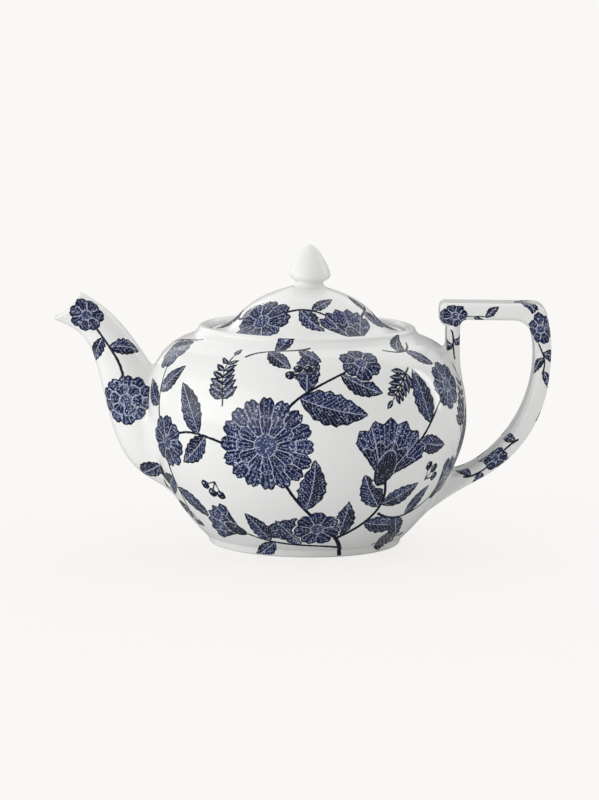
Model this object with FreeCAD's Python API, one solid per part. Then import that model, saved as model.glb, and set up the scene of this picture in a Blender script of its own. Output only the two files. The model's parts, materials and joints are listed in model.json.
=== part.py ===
import FreeCAD, Part
import math
import os

from FreeCAD import Vector

os.makedirs("parts", exist_ok=True)

# Sizes in mm, +Z up, spout toward -X, handle toward +X
# The pot's own axis stands this far from the middle of the whole length
AXIS_X = 3.4

# Pot body
FOOT_H = 4.2
BASE_R = 51.0
BELLY_R = 82.2
BELLY_Z = 64.6
SEAT_Z = 106.5
NECK_R = 55.5
WALL = 4.0
FLOOR = 4.5

# Foot ring, set in from the base
FOOT_STEP = 2.0
FOOT_FLARE = 1.2
FOOT_W = 6.0
FOOT_R = BASE_R - FOOT_STEP
FOOT_TOP_R = FOOT_R + FOOT_FLARE
FOOT_IN_R = FOOT_R - FOOT_W

# Collar around the lid, and the ledge that the lid seats on
COLLAR_T = 5.0
COLLAR_H = 5.2
COLLAR_FLARE = 2.1
SEAT_W = 8.5
LEDGE_T = 4.5
LEDGE_WALL = 3.5
COLLAR_IN_R = NECK_R - COLLAR_T
RIM_Z = SEAT_Z + COLLAR_H
MOUTH_R = COLLAR_IN_R - SEAT_W
LEDGE_R = NECK_R - LEDGE_WALL

# Lid with its flange and steam vent
LID_GAP = 0.9
LID_R = COLLAR_IN_R - LID_GAP
LID_EDGE = 2.2
LID_WALL = 3.8
LID_RISE = 24.7
CROWN_R = 9.2
CROWN_Z = SEAT_Z + LID_RISE
FLANGE_GAP = 0.8
FLANGE_R = MOUTH_R - FLANGE_GAP
FLANGE_T = 3.5
FLANGE_H = 11.0
VENT_R = 1.75
VENT_POS = 24.0

# Lug under the seat ledge, and the notch it lifts through
LUG_REACH = 3.6
LUG_W = 10.0
LUG_H = 3.6
LUG_DROP = 0.8
NOTCH_GAP = 1.0

# Knob, set a little off the lid's axis
KNOB_X = 1.2
KNOB_NECK_R = 6.5
KNOB_NECK_H = 2.2
KNOB_R = 10.4
KNOB_CREASE_H = 6.4
KNOB_H = 21.8
KNOB_FOOT_R = KNOB_NECK_R + 1.1
KNOB_NECK_Z = CROWN_Z + KNOB_NECK_H
KNOB_CREASE_Z = CROWN_Z + KNOB_CREASE_H
TIP_Z = CROWN_Z + KNOB_H

# Spout and the strainer behind it
SPOUT_WALL = 3.0
SPOUT_LEAN = 1.25
SPOUT_SECTIONS = 12
LIP_R = 22.5
LIP_OUT = 54.3
LIP_Z = 135.8
GRID_R = 15.0
GRID_IN = 3.2
GRID_Z = 56.0
GRID_TILT = 68.0
GRID_DEEP = 28.0
GRID_HOLE_R = 2.25
GRID_PITCH = 7.2

# Handle strap
STRAP_W = 24.0
STRAP_T = 8.4
BAR_RISE = 18.3
BAR_T = 8.5
BLOCK_DROP = 2.9
BLOCK_LIP = 3.6
POST_T = 6.8
POST_INSET = 4.4
POST_DEEP = 7.4
BOW_OUT = 42.2
STRAP_ROUND = min(3.2, 0.48 * POST_T)
BAR_TOP = SEAT_Z + BAR_RISE
BAR_LOW = BAR_TOP - BAR_T
BLOCK_LOW = BAR_LOW - BLOCK_DROP
POST_R = BELLY_R - POST_INSET
POST_L = POST_R - POST_T
POST_LOW = BELLY_Z + POST_DEEP
BLOCK_X = POST_L - BLOCK_LIP
REACH = BELLY_R + BOW_OUT

# Slip seams stand this far out of the pieces they join
SEAM = 2.0

# Share of a quarter turn that gives a Bezier its round shape
QUARTER = 0.5523
UP = Vector(0, 0, 1)
ORIGIN = Vector(0, 0, 0)

# Outlines as Bezier poles, radius and height
BELLY = [(BASE_R, FOOT_H), (BASE_R + 11.2, FOOT_H + 10.0), (BELLY_R, BELLY_Z - 22.0),
         (BELLY_R, BELLY_Z)]
SHOULDER = [(BELLY_R, BELLY_Z), (BELLY_R, SEAT_Z - 19.5), (NECK_R + 20.0, SEAT_Z - 5.8),
            (NECK_R + 5.5, SEAT_Z - 1.0)]
NECK = [SHOULDER[-1], (NECK_R + 4.4, SEAT_Z - 0.65), (NECK_R + 3.3, SEAT_Z - 0.3),
        (NECK_R + COLLAR_FLARE, SEAT_Z)]
EDGE_Z = SEAT_Z + LID_EDGE
OGEE_LOW = [(LID_R - 1.0, EDGE_Z + 0.4), (LID_R - 6.6, EDGE_Z + 0.9), (LID_R - 11.4, EDGE_Z + 4.3),
            (LID_R - 15.0, EDGE_Z + 8.3)]
OGEE_TOP = [OGEE_LOW[-1], (LID_R - 21.4, CROWN_Z - 7.0), (LID_R - 28.6, CROWN_Z - 3.6),
            (CROWN_R, CROWN_Z)]

# Spout outlines: top edge and bottom edge as distance out from the belly's side and height,
# and half width
SPOUT_TOP = [(42.4, 131.2), (24.9, 124.2), (7.4, 114.0), (0.7, 92.8), (-9.1, 78.4), (-22.2, 64.0)]
SPOUT_LOW = [(58.0, 117.6), (20.6, 101.1), (24.1, 118.0), (23.2, 31.3), (9.5, 36.9), (-18.2, 25.5)]
SPOUT_HALF = [(8.6, 0), (8.4, 0), (13.5, 0), (25.0, 0)]

# The handle's lower root sits on the middle of the belly curve
ROOT_X, ROOT_Z = [sum(k * pole[i] for k, pole in zip((1, 3, 3, 1), BELLY)) / 8 for i in (0, 1)]
ROOT_DEEP = 14.8

# Bow of the handle, outside and inside
BOW_ROOT = [(ROOT_X + 20.2, ROOT_Z + 5.7), (ROOT_X + 9.2, ROOT_Z - 0.7), (ROOT_X - 0.3, ROOT_Z - 5.1),
            (ROOT_X - 10.8, ROOT_Z - 15.9)]
BOW_IN = [(ROOT_X + 3.2, ROOT_Z + 7.1), (ROOT_X + 22.2, ROOT_Z + 10.1), (REACH - 7.8, 66.0),
          (REACH - STRAP_T, BAR_LOW - 18.3)]


def vec(point):
    return Vector(point[0], 0.0, point[1])


def bezier(points):
    curve = Part.BezierCurve()
    curve.setPoles(points)
    return curve.toShape()


def chain(start, *steps):
    # A path of straight steps (one point) and Bezier steps (three points)
    edges = []
    here = start
    for step in steps:
        if len(step) == 1:
            edges.append(Part.LineSegment(vec(here), vec(step[0])).toShape())
        else:
            edges.append(bezier([vec(p) for p in [here] + list(step)]))
        here = step[-1]
    return Part.Wire(edges)


def revolve(wire):
    # A full turn about Z, its start line on the plain back side
    solid = Part.Face(wire).revolve(ORIGIN, UP, 360)
    solid.rotate(ORIGIN, UP, 90)
    return solid


def biggest(shape):
    return max(shape.Solids, key=lambda solid: solid.Volume)


def offset_poles(points, gap):
    # Moves an outline sideways, to the left of its run for a positive gap
    legs = []
    for a, b in zip(points, points[1:]):
        dx = b[0] - a[0]
        dz = b[1] - a[1]
        k = gap / math.hypot(dx, dz)
        legs.append(((a[0] - dz * k, a[1] + dx * k), (b[0] - dz * k, b[1] + dx * k)))
    moved = [legs[0][0]]
    for (a, b), (c, d) in zip(legs, legs[1:]):
        ux, uz = b[0] - a[0], b[1] - a[1]
        wx, wz = d[0] - c[0], d[1] - c[1]
        cross = ux * wz - uz * wx
        t = 1.0
        if abs(cross) > 1e-6:
            t = ((c[0] - a[0]) * wz - (c[1] - a[1]) * wx) / cross
        moved.append((a[0] + t * ux, a[1] + t * uz))
    moved.append(legs[-1][1])
    return moved


def bezier_at(poles, t):
    # Point on a Bezier curve of any degree
    points = list(poles)
    while len(points) > 1:
        points = [(p[0] + t * (q[0] - p[0]), p[1] + t * (q[1] - p[1]))
                  for p, q in zip(points, points[1:])]
    return points[0]


def body_solid(grow):
    # The filled body, its side moved out by grow
    belly = offset_poles(BELLY, -grow)
    shoulder = offset_poles(SHOULDER, -grow)
    neck = offset_poles(NECK, -grow)
    shoulder[0] = belly[-1]
    neck[0] = shoulder[-1]
    return revolve(chain((0, belly[0][1]), [belly[0]], belly[1:], shoulder[1:], neck[1:],
                         [(0, neck[-1][1])], [(0, belly[0][1])]))


# Body wall: filled shape less the hollow, the mouth and the lug's notch
outer = body_solid(0)
belly_in = offset_poles(BELLY, WALL)
shoulder_in = offset_poles(SHOULDER, WALL)
shoulder_in[0] = belly_in[-1]
floor_z = FOOT_H + FLOOR
ledge_z = SEAT_Z - LEDGE_T
inside = revolve(chain((0, belly_in[0][1]), [belly_in[0]], belly_in[1:], shoulder_in[1:],
                       [(LEDGE_R, ledge_z)], [(MOUTH_R, ledge_z)], [(MOUTH_R, SEAT_Z)],
                       [(0, SEAT_Z)], [(0, belly_in[0][1])]))
inside = inside.cut(Part.makeCylinder(BELLY_R, floor_z, ORIGIN, UP))
notch_reach = FLANGE_R + LUG_REACH + NOTCH_GAP
notch = Part.makeBox(notch_reach - MOUTH_R + 6.0, LUG_W + 2 * NOTCH_GAP, LEDGE_T + 2.0,
                     Vector(MOUTH_R - 6.0, -LUG_W / 2 - NOTCH_GAP, ledge_z - 1.0))
wall = outer.cut(inside).cut(notch)

# Strainer disc let into the wall, pierced along the spout's root
lean = math.radians(GRID_TILT)
grid_axis = Vector(-math.sin(lean), 0, math.cos(lean))
grid_side = Vector(0, 1, 0)
grid_up = grid_axis.cross(grid_side)
grid_back = Vector(GRID_IN - BELLY_R, 0, GRID_Z) - grid_axis * (GRID_DEEP / 2)
plug = Part.makeCylinder(GRID_R, GRID_DEEP, grid_back, grid_axis)
pot_body = biggest(wall.cut(plug))
spout_grid = biggest(wall.common(plug))
for row in (-1, 0, 1):
    for col in (-1, 0, 1):
        across = (col + 0.5 * (row % 2)) * GRID_PITCH
        rise = row * GRID_PITCH * math.sqrt(3) / 2
        if math.hypot(across, rise) < GRID_PITCH * 1.01:
            spot = grid_back + grid_side * across + grid_up * rise
            spout_grid = spout_grid.cut(Part.makeCylinder(GRID_HOLE_R, GRID_DEEP, spot, grid_axis))

# Foot ring with a bare rounded edge
foot_ring = revolve(chain((FOOT_IN_R, FOOT_H), [(FOOT_IN_R + 0.6, 1.0)],
                          [(FOOT_IN_R + 0.7, 0.3), (FOOT_IN_R + 1.0, 0.0), (FOOT_IN_R + 1.6, 0.0)],
                          [(FOOT_R - 1.2, 0.0)],
                          [(FOOT_R - 0.4, 0.0), (FOOT_R, 0.5), (FOOT_R + 0.2, 1.2)],
                          [(FOOT_TOP_R, FOOT_H)], [(FOOT_IN_R, FOOT_H)]))

# Collar with a rounded rim
rim_r = (COLLAR_IN_R + NECK_R) / 2
collar = revolve(chain((COLLAR_IN_R, SEAT_Z), [(NECK_R + COLLAR_FLARE, SEAT_Z)],
                       [(NECK_R + 0.9, SEAT_Z + 0.6), (NECK_R, SEAT_Z + 1.4), (NECK_R, SEAT_Z + 2.6)],
                       [(NECK_R, RIM_Z - 2.0)],
                       [(NECK_R, RIM_Z - 0.7), (rim_r + 1.4, RIM_Z), (rim_r, RIM_Z)],
                       [(rim_r - 1.4, RIM_Z), (COLLAR_IN_R, RIM_Z - 0.9),
                        (COLLAR_IN_R, RIM_Z - 2.4)],
                       [(COLLAR_IN_R, SEAT_Z)]))

# Lid dome, an ogee from the sunk edge to the crown
top_in = offset_poles(OGEE_TOP, LID_WALL)
hollow_r = FLANGE_R - FLANGE_T
lid_fill = revolve(chain((0, SEAT_Z), [(LID_R, SEAT_Z)], [(LID_R, EDGE_Z - 0.6)],
                         [(LID_R, EDGE_Z), (LID_R - 0.4, EDGE_Z + 0.4), OGEE_LOW[0]],
                         OGEE_LOW[1:], OGEE_TOP[1:], [(0, CROWN_Z)], [(0, SEAT_Z)]))
lid_hollow = revolve(chain((0, SEAT_Z), [(hollow_r, SEAT_Z)],
                           [(hollow_r, SEAT_Z + 2.9), (hollow_r - 4.1, SEAT_Z + 5.9), top_in[0]],
                           top_in[1:], [(0, top_in[-1][1])], [(0, SEAT_Z)]))
vent = Part.makeCylinder(VENT_R, 40.0, Vector(0, VENT_POS, SEAT_Z + 5.0), UP)
lid_dome = biggest(lid_fill.cut(lid_hollow).cut(vent))

# Flange ring under the lid
flange_z = SEAT_Z - FLANGE_H
lid_flange = revolve(chain((hollow_r, SEAT_Z), [(FLANGE_R, SEAT_Z)], [(FLANGE_R, flange_z + 1.2)],
                           [(FLANGE_R, flange_z + 0.4), (FLANGE_R - 0.4, flange_z),
                            (FLANGE_R - 1.2, flange_z)],
                           [(hollow_r + 0.8, flange_z)], [(hollow_r, flange_z + 0.8)],
                           [(hollow_r, SEAT_Z)]))

# Lug on the flange, just under the ledge
lug_z = ledge_z - LUG_DROP - LUG_H
lug_end = Part.makeCylinder(FLANGE_R + LUG_REACH, LUG_H, Vector(0, 0, lug_z), UP)
lug_bar = Part.makeBox(2 * FLANGE_R, LUG_W, LUG_H, Vector(FLANGE_R - 5.0, -LUG_W / 2, lug_z))
flange_fill = Part.makeCylinder(FLANGE_R, LUG_H, Vector(0, 0, lug_z), UP)
lid_lug = biggest(lug_bar.common(lug_end).cut(flange_fill))

# Knob, an acorn on a short neck, and the slip bead around its foot
lid_knob = revolve(chain((0, CROWN_Z), [(KNOB_FOOT_R, CROWN_Z)],
                         [(KNOB_NECK_R, CROWN_Z + 0.8), (KNOB_NECK_R, KNOB_NECK_Z - 1.0),
                          (KNOB_NECK_R, KNOB_NECK_Z)],
                         [(KNOB_NECK_R, KNOB_NECK_Z + 1.2), (KNOB_R, KNOB_CREASE_Z - 2.4),
                          (KNOB_R, KNOB_CREASE_Z)],
                         [(KNOB_R - 0.6, KNOB_CREASE_Z + 4.0), (KNOB_R - 6.6, TIP_Z), (0, TIP_Z)],
                         [(0, CROWN_Z)]))
bead = revolve(chain((0, CROWN_Z), [(KNOB_FOOT_R + 0.4, CROWN_Z)],
                     [(KNOB_FOOT_R + 0.4, CROWN_Z + 0.6), (KNOB_FOOT_R - 0.3, CROWN_Z + 1.3),
                      (KNOB_FOOT_R - 1.2, CROWN_Z + 1.3)],
                     [(0, CROWN_Z + 1.3)], [(0, CROWN_Z)]))
knob_seam = biggest(bead.cut(lid_knob))
lid_knob.translate(Vector(KNOB_X, 0, 0))
knob_seam.translate(Vector(KNOB_X, 0, 0))


def ellipse_wire(top, low, half):
    # Four Bezier quarters, from the top point round by +Y
    mid = Vector((top[0] + low[0]) / 2, 0, (top[1] + low[1]) / 2)
    rise = vec(top) - mid
    reach = Vector(0, half, 0)
    spokes = [rise, reach, rise * -1, reach * -1, rise]
    return Part.Wire([bezier([mid + a, mid + a + b * QUARTER, mid + b + a * QUARTER, mid + b])
                      for a, b in zip(spokes, spokes[1:])])


def beside_spout(point):
    # A place on the spout from its distance out from the belly's side and its height
    return Vector(-BELLY_R - point[0], 0, point[1])


def spout_loft(grow):
    # The filled spout, its side moved out by grow
    wires = []
    for i in range(SPOUT_SECTIONS + 1):
        t = i / SPOUT_SECTIONS
        top = beside_spout(bezier_at(SPOUT_TOP, t))
        low = beside_spout(bezier_at(SPOUT_LOW, t ** SPOUT_LEAN))
        step = (top - low).normalize() * grow
        top = top + step
        low = low - step
        half = bezier_at(SPOUT_HALF, t)[0] + grow
        wires.append(ellipse_wire((top.x, top.z), (low.x, low.z), half))
    return Part.makeLoft(wires, True, False)


# Spout, hollow, trimmed at the body and at its slanted lip
body_skin = body_solid(SEAM)
spout_fill = spout_loft(0)
lip_w = 4 * SPOUT_HALF[-1][0]
lip_start = Vector(-BELLY_R - LIP_OUT, -lip_w / 2, LIP_Z)
lip = Part.makeCylinder(LIP_R, lip_w, lip_start, Vector(0, 1, 0))
spout = biggest(spout_fill.cut(spout_loft(-SPOUT_WALL)).cut(outer).cut(lip))
spout_seam = biggest(spout_loft(SEAM).common(body_skin).cut(spout_fill).cut(outer))

# Handle side outline: post, block, bar and bow
outline = chain(
    (POST_L, POST_LOW), [(POST_L, BLOCK_LOW)], [(BLOCK_X + 2.0, BLOCK_LOW)],
    [(BLOCK_X + 0.6, BLOCK_LOW), (BLOCK_X, BLOCK_LOW + 0.8), (BLOCK_X, BLOCK_LOW + 2.4)],
    [(BLOCK_X, BAR_TOP - 4.0)],
    [(BLOCK_X, BAR_TOP - 1.6), (BLOCK_X + 1.8, BAR_TOP), (BLOCK_X + 4.2, BAR_TOP)],
    [(REACH - 9.2, BAR_TOP)],
    [(REACH - 5.8, BAR_TOP), (REACH - 3.6, BAR_TOP - 1.6), (REACH - 2.8, BAR_TOP - 4.6)],
    [(REACH - 1.2, BAR_TOP - 10.3), (REACH, BAR_TOP - 16.8), (REACH, BAR_TOP - 23.8)],
    [(REACH, 77.0), (REACH - 5.8, 52.5), BOW_ROOT[0]],
    BOW_ROOT[1:],
    [(ROOT_X - ROOT_DEEP, BOW_IN[0][1])], [BOW_IN[0]], BOW_IN[1:],
    [(REACH - STRAP_T, BAR_LOW - 6.8), (REACH - STRAP_T - 3.5, BAR_LOW),
     (REACH - STRAP_T - 11.0, BAR_LOW)],
    [(POST_R + 3.6, BAR_LOW)],
    [(POST_R + 1.2, BAR_LOW), (POST_R, BAR_LOW - 1.6), (POST_R, BAR_LOW - 3.6)],
    [(POST_R, POST_LOW)], [(POST_L, POST_LOW)])


def slab_of(wire, width, rounding):
    # The outline given a width across Y, its open flank edges rounded
    slab = Part.Face(wire).extrude(Vector(0, width, 0))
    slab.translate(Vector(0, -width / 2, 0))
    flank = [e for e in slab.Edges
             if all(abs(abs(v.Y) - width / 2) < 1e-6 for v in e.Vertexes)
             and e.Vertexes[0].Y * e.Vertexes[-1].Y > 0
             and not all(outer.isInside(v.Point, 0.01, True) for v in e.Vertexes)]
    return slab.makeFillet(rounding, flank)


strap = slab_of(outline, STRAP_W, STRAP_ROUND)
handle = biggest(strap.cut(outer))

# Slip seams around the handle's two roots
wide = STRAP_W + 2 * SEAM
collar_box = Part.makeBox(POST_R - POST_L + 2 * SEAM, wide, BLOCK_LOW - POST_LOW,
                          Vector(POST_L - SEAM, -wide / 2, POST_LOW))
corners = [e for e in collar_box.Edges if abs(e.Vertexes[0].Z - e.Vertexes[-1].Z) > 1.0]
collar_box = collar_box.makeFillet(STRAP_ROUND + SEAM, corners)
handle_upper_seam = biggest(collar_box.common(body_skin).cut(strap).cut(outer))
root = offset_poles(BOW_ROOT, SEAM)
root_top = BOW_IN[0][1] + SEAM
root_wire = chain(root[0], root[1:], [(ROOT_X - ROOT_DEEP, root_top)], [(BOW_IN[0][0], root_top)],
                  [(ROOT_X + 18.2, root_top + 5.0)], [root[0]])
root_slab = slab_of(root_wire, wide, STRAP_ROUND)
handle_lower_seam = biggest(root_slab.common(body_skin).cut(strap).cut(outer))

pieces = {
    "pot_body": pot_body,
    "foot_ring": foot_ring,
    "collar": collar,
    "spout": spout,
    "spout_grid": spout_grid,
    "spout_seam": spout_seam,
    "handle": handle,
    "handle_upper_seam": handle_upper_seam,
    "handle_lower_seam": handle_lower_seam,
    "lid_dome": lid_dome,
    "lid_flange": lid_flange,
    "lid_lug": lid_lug,
    "lid_knob": lid_knob,
    "knob_seam": knob_seam,
}
for name, shape in pieces.items():
    shape.translate(Vector(AXIS_X, 0, 0))
    box = shape.BoundBox
    print(name, shape.isValid(), round(shape.Volume), round(box.XMin, 1), round(box.XMax, 1))
    shape.exportStep("parts/" + name + ".step")
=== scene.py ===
"""Looks of a white glazed teapot with a blue floral print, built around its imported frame.

Lengths in the geometry code are millimetres about the pot's own axis, with the spout toward -X and
the viewer toward -Y. They are turned into metres in the row frame when a mesh is made.
"""

import json
import logging
import math
from dataclasses import dataclass, field
from enum import Enum
from typing import Callable, Optional, Sequence, Union

import bpy
import numpy as np
from mathutils import Matrix, Vector

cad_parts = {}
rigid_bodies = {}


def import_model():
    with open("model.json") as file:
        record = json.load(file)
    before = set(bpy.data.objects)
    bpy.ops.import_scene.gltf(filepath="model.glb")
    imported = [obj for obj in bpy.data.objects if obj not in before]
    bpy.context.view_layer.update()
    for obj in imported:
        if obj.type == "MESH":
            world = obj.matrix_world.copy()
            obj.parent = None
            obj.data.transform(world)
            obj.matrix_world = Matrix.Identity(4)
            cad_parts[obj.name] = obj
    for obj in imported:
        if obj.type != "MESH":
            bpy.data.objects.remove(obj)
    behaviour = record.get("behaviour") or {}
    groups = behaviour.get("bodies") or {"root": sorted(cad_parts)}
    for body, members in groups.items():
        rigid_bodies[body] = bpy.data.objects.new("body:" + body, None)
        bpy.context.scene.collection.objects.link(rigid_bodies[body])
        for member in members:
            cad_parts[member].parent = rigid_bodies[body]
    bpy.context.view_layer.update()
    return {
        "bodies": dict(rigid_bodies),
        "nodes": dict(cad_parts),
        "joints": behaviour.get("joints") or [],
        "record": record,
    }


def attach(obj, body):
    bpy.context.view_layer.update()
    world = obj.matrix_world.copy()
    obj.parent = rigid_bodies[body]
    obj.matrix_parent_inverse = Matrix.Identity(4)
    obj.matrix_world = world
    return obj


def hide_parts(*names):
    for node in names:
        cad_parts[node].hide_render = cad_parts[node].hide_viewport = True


LOG = logging.getLogger("teapot")
Array = np.ndarray
Point = tuple[float, float]
Place = tuple[float, float, float]
Colour = tuple[float, float, float, float]
Fields = tuple[Array, Array, Array, Array]

MM = 0.001
TINY = 1e-9
# How far the pot's own axis stands from the frame's origin, along X
AXIS_X = 3.4
# Points that an outline is resampled to
OUTLINE_POINTS = 420
# Points handled at a time when the nearest of many is looked for
BATCH = 20000
# CAD faces nearer than this to a dressed outside are left out
SKIN_GAP = 0.15
# Print distance of a point with nothing printed near it
BLANK = 9.0
# How far from its origin a motif or a piece of stem is looked at
STAMP_REACH = 90.0
DRAW_REACH = 16.0
# Share of a stem over which its heading is taken
HEADING_STEP = 0.03
# Sockets of a Mix node that mixes colours
MIX_SHARE, MIX_A, MIX_B, MIX_RESULT = 0, 6, 7, 2
WHITE: Colour = (1.0, 1.0, 1.0, 1.0)


# Curves and surfaces


def bezier_at(poles: Sequence[Point], t: Array) -> Array:
    """Points of a Bezier curve of any degree.

    Args:
        poles: Control points.
        t: Parameters from 0 to 1.

    Returns:
        Points as an array of shape (len(t), 2).
    """
    points = np.repeat(np.asarray(poles, float)[:, None, :], len(t), axis=1)
    share = np.asarray(t, float)[None, :, None]
    while len(points) > 1:
        points = points[:-1] * (1 - share) + points[1:] * share
    return points[0]


def bezier(poles: Sequence[Point], count: int) -> Array:
    """Samples a Bezier curve at even parameters, both ends included."""
    return bezier_at(poles, np.linspace(0.0, 1.0, count))


def cubic(a: Array, b: Array, c: Array, d: Array, share: Array) -> Array:
    """Points between a and d on cubic curves with the poles a, b, c and d."""
    keep = 1.0 - share
    return a * keep ** 3 + b * 3 * keep ** 2 * share + c * 3 * keep * share ** 2 + d * share ** 3


def join(*runs: Array) -> Array:
    """Joins curve pieces that each start where the last one ended."""
    return np.vstack([runs[0]] + [run[1:] for run in runs[1:]])


def profile(start: Point, *runs: tuple[int, Sequence[Point]]) -> Array:
    """Joins Bezier runs into one outline.

    Args:
        start: The first point.
        runs: Number of points and further poles of each run. A run starts where the last one ended.

    Returns:
        Points from the start to the last pole.
    """
    pieces = []
    for count, poles in runs:
        pieces.append(bezier([start, *poles], count))
        start = poles[-1]
    return join(*pieces)


def lengths(points: Array) -> Array:
    """Length along a polyline from its first point to each point."""
    return np.r_[0.0, np.cumsum(np.linalg.norm(np.diff(points, axis=0), axis=1))]


def resample(points: Array, count: int) -> Array:
    """Spreads points evenly along a polyline.

    Args:
        points: Points of shape (n, k).
        count: Number of points wanted.

    Returns:
        Evenly spaced points.
    """
    run = lengths(points)
    at = np.linspace(0.0, run[-1], count)
    return np.stack([np.interp(at, run, points[:, k]) for k in range(points.shape[1])], axis=1)


def straight(start: Point, end: Point, count: int) -> Array:
    """Even points from a start to an end."""
    return resample(np.array([start, end]), count)


def unit(vectors: Array) -> Array:
    """Scales the vectors on the last axis to length one."""
    return vectors / np.maximum(np.linalg.norm(vectors, axis=-1, keepdims=True), TINY)


def nearest_index(points: Array, line: Array) -> Array:
    """Finds the nearest point of a line.

    Args:
        points: Points of shape (n, 2).
        line: Points of the line, of shape (m, 2).

    Returns:
        Number of the line's nearest point, for each point.
    """
    best = np.empty(len(points), int)
    for low in range(0, len(points), BATCH):
        part = points[low:low + BATCH, None]
        best[low:low + BATCH] = ((part - line[None]) ** 2).sum(axis=2).argmin(axis=1)
    return best


class Revolved:
    """The outside of a turned shape, known by its outline from bottom to top."""

    def __init__(self, outline: Array) -> None:
        """Keeps the outline and its normals.

        Args:
            outline: Radius and height from bottom to top.
        """
        self.outline = resample(outline, OUTLINE_POINTS)
        slope = np.gradient(self.outline, axis=0)
        self.normals = unit(np.stack([slope[:, 1], -slope[:, 0]], axis=1))
        self.run = lengths(self.outline)

    def nearest(self, points: Array) -> tuple[Array, Array, Array]:
        """Finds how far points lie outside the shape.

        Args:
            points: Points of shape (..., 3).

        Returns:
            Signed distance, surface normal and length along the outline at each point.
        """
        flat = points.reshape(-1, 3)
        radius = np.linalg.norm(flat[:, :2], axis=1)
        here = np.stack([radius, flat[:, 2]], axis=1)
        best = nearest_index(here, self.outline)
        normal = self.normals[best]
        offset = here - self.outline[best]
        along = offset[:, 0] * -normal[:, 1] + offset[:, 1] * normal[:, 0]
        shift = np.clip(along / (self.run[1] - self.run[0]), -1.0, 1.0)
        other = np.clip(best + np.sign(shift).astype(int), 0, len(self.outline) - 1)
        share = np.abs(shift)[:, None]
        normal = unit(normal * (1 - share) + self.normals[other] * share)
        distance = (offset * normal).sum(axis=1)
        spin = flat[:, :2] / np.maximum(radius, TINY)[:, None]
        turned = np.column_stack([normal[:, :1] * spin, normal[:, 1]])
        shape = points.shape[:-1]
        run = self.run[best] + along
        return distance.reshape(shape), turned.reshape(points.shape), run.reshape(shape)

    def onto(self, points: Array) -> tuple[Array, Array]:
        """Drops points onto the surface.

        Args:
            points: Points of shape (..., 3).

        Returns:
            The points on the surface, and the normals there.
        """
        for _ in range(2):
            distance, normal = self.nearest(points)[:2]
            points = points - normal * distance[..., None]
        return points, normal

    def grid(self, rows: int, columns: int) -> "Grid":
        """Turns the outline into a surface.

        Args:
            rows: Rows along the outline.
            columns: Columns around it.

        Returns:
            The surface as a grid, column 0 on the back side.
        """
        line = resample(self.outline, rows)
        angle = np.linspace(0.0, 2 * np.pi, columns, endpoint=False)
        x = -line[:, :1] * np.sin(angle)[None]
        y = line[:, :1] * np.cos(angle)[None]
        z = np.repeat(line[:, 1:], columns, axis=1)
        return Grid(np.stack([x, y, z], axis=2))


@dataclass
class Grid:
    """A surface of rows and columns whose columns close into a ring."""

    points: Array
    normals: Optional[Array] = None

    def __post_init__(self) -> None:
        """Works out the normals when none are given."""
        if self.normals is None:
            around = np.roll(self.points, -1, axis=1) - np.roll(self.points, 1, axis=1)
            self.normals = unit(np.cross(around, np.gradient(self.points, axis=0)))

    @property
    def flat(self) -> Array:
        """The points as one list."""
        return self.points.reshape(-1, 3)

    def face_out(self, row: int, outward: Array) -> None:
        """Turns the normals round if they go against the outward directions of a row."""
        if (self.normals[row] * outward).sum() < 0:
            self.normals = -self.normals

    def split(self, row: int) -> tuple["Grid", "Grid"]:
        """Cuts the surface in two along a row that both halves keep."""
        first = Grid(self.points[:row + 1], self.normals[:row + 1])
        return first, Grid(self.points[row:], self.normals[row:])

    def faces(self) -> Array:
        """Four-cornered faces over the flattened points.

        Returns:
            Indices of shape (n, 4), facing along the normals.
        """
        rows, columns = self.points.shape[:2]
        index = np.arange(rows * columns).reshape(rows, columns)
        a, b = index[:-1], index[1:]
        quads = np.stack([a, np.roll(a, -1, axis=1), np.roll(b, -1, axis=1), b], axis=2).reshape(-1, 4)
        middle = quads[len(quads) // 2]
        corners = self.flat[middle]
        facing = np.cross(corners[2] - corners[0], corners[3] - corners[1])
        if facing @ self.normals.reshape(-1, 3)[middle[0]] < 0:
            quads = quads[:, ::-1]
        return quads


def tube_outward(points: Array, middle: Array) -> Array:
    """Outward directions of a tube.

    Args:
        points: Sections of shape (stations, columns, 3).
        middle: The tube's middle line, X and Z.

    Returns:
        Unit vectors of the points' shape.
    """
    around = np.roll(points, -1, axis=1) - np.roll(points, 1, axis=1)
    outward = unit(np.cross(np.gradient(points, axis=0), around))
    centre = np.stack([middle[:, 0], 0 * middle[:, 0], middle[:, 1]], axis=1)[:, None]
    inward = ((points - centre) * outward).sum(axis=2, keepdims=True) < 0
    return np.where(inward, -outward, outward)


def beside(points: Array, outer: Array, inner: Array) -> tuple[Array, Array]:
    """Measures points beside the middle line of a tube.

    Args:
        points: Points of shape (n, 3).
        outer: The tube's outer line in the middle plane, X and Z.
        inner: Its inner line.

    Returns:
        Length along the middle line, and distance from it toward the outer line.
    """
    middle = 0.5 * (outer + inner)
    flat = points[:, [0, 2]]
    best = nearest_index(flat, middle)
    out = ((flat - middle[best]) * unit(outer - inner)[best]).sum(axis=1)
    return lengths(middle)[best], out


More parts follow.
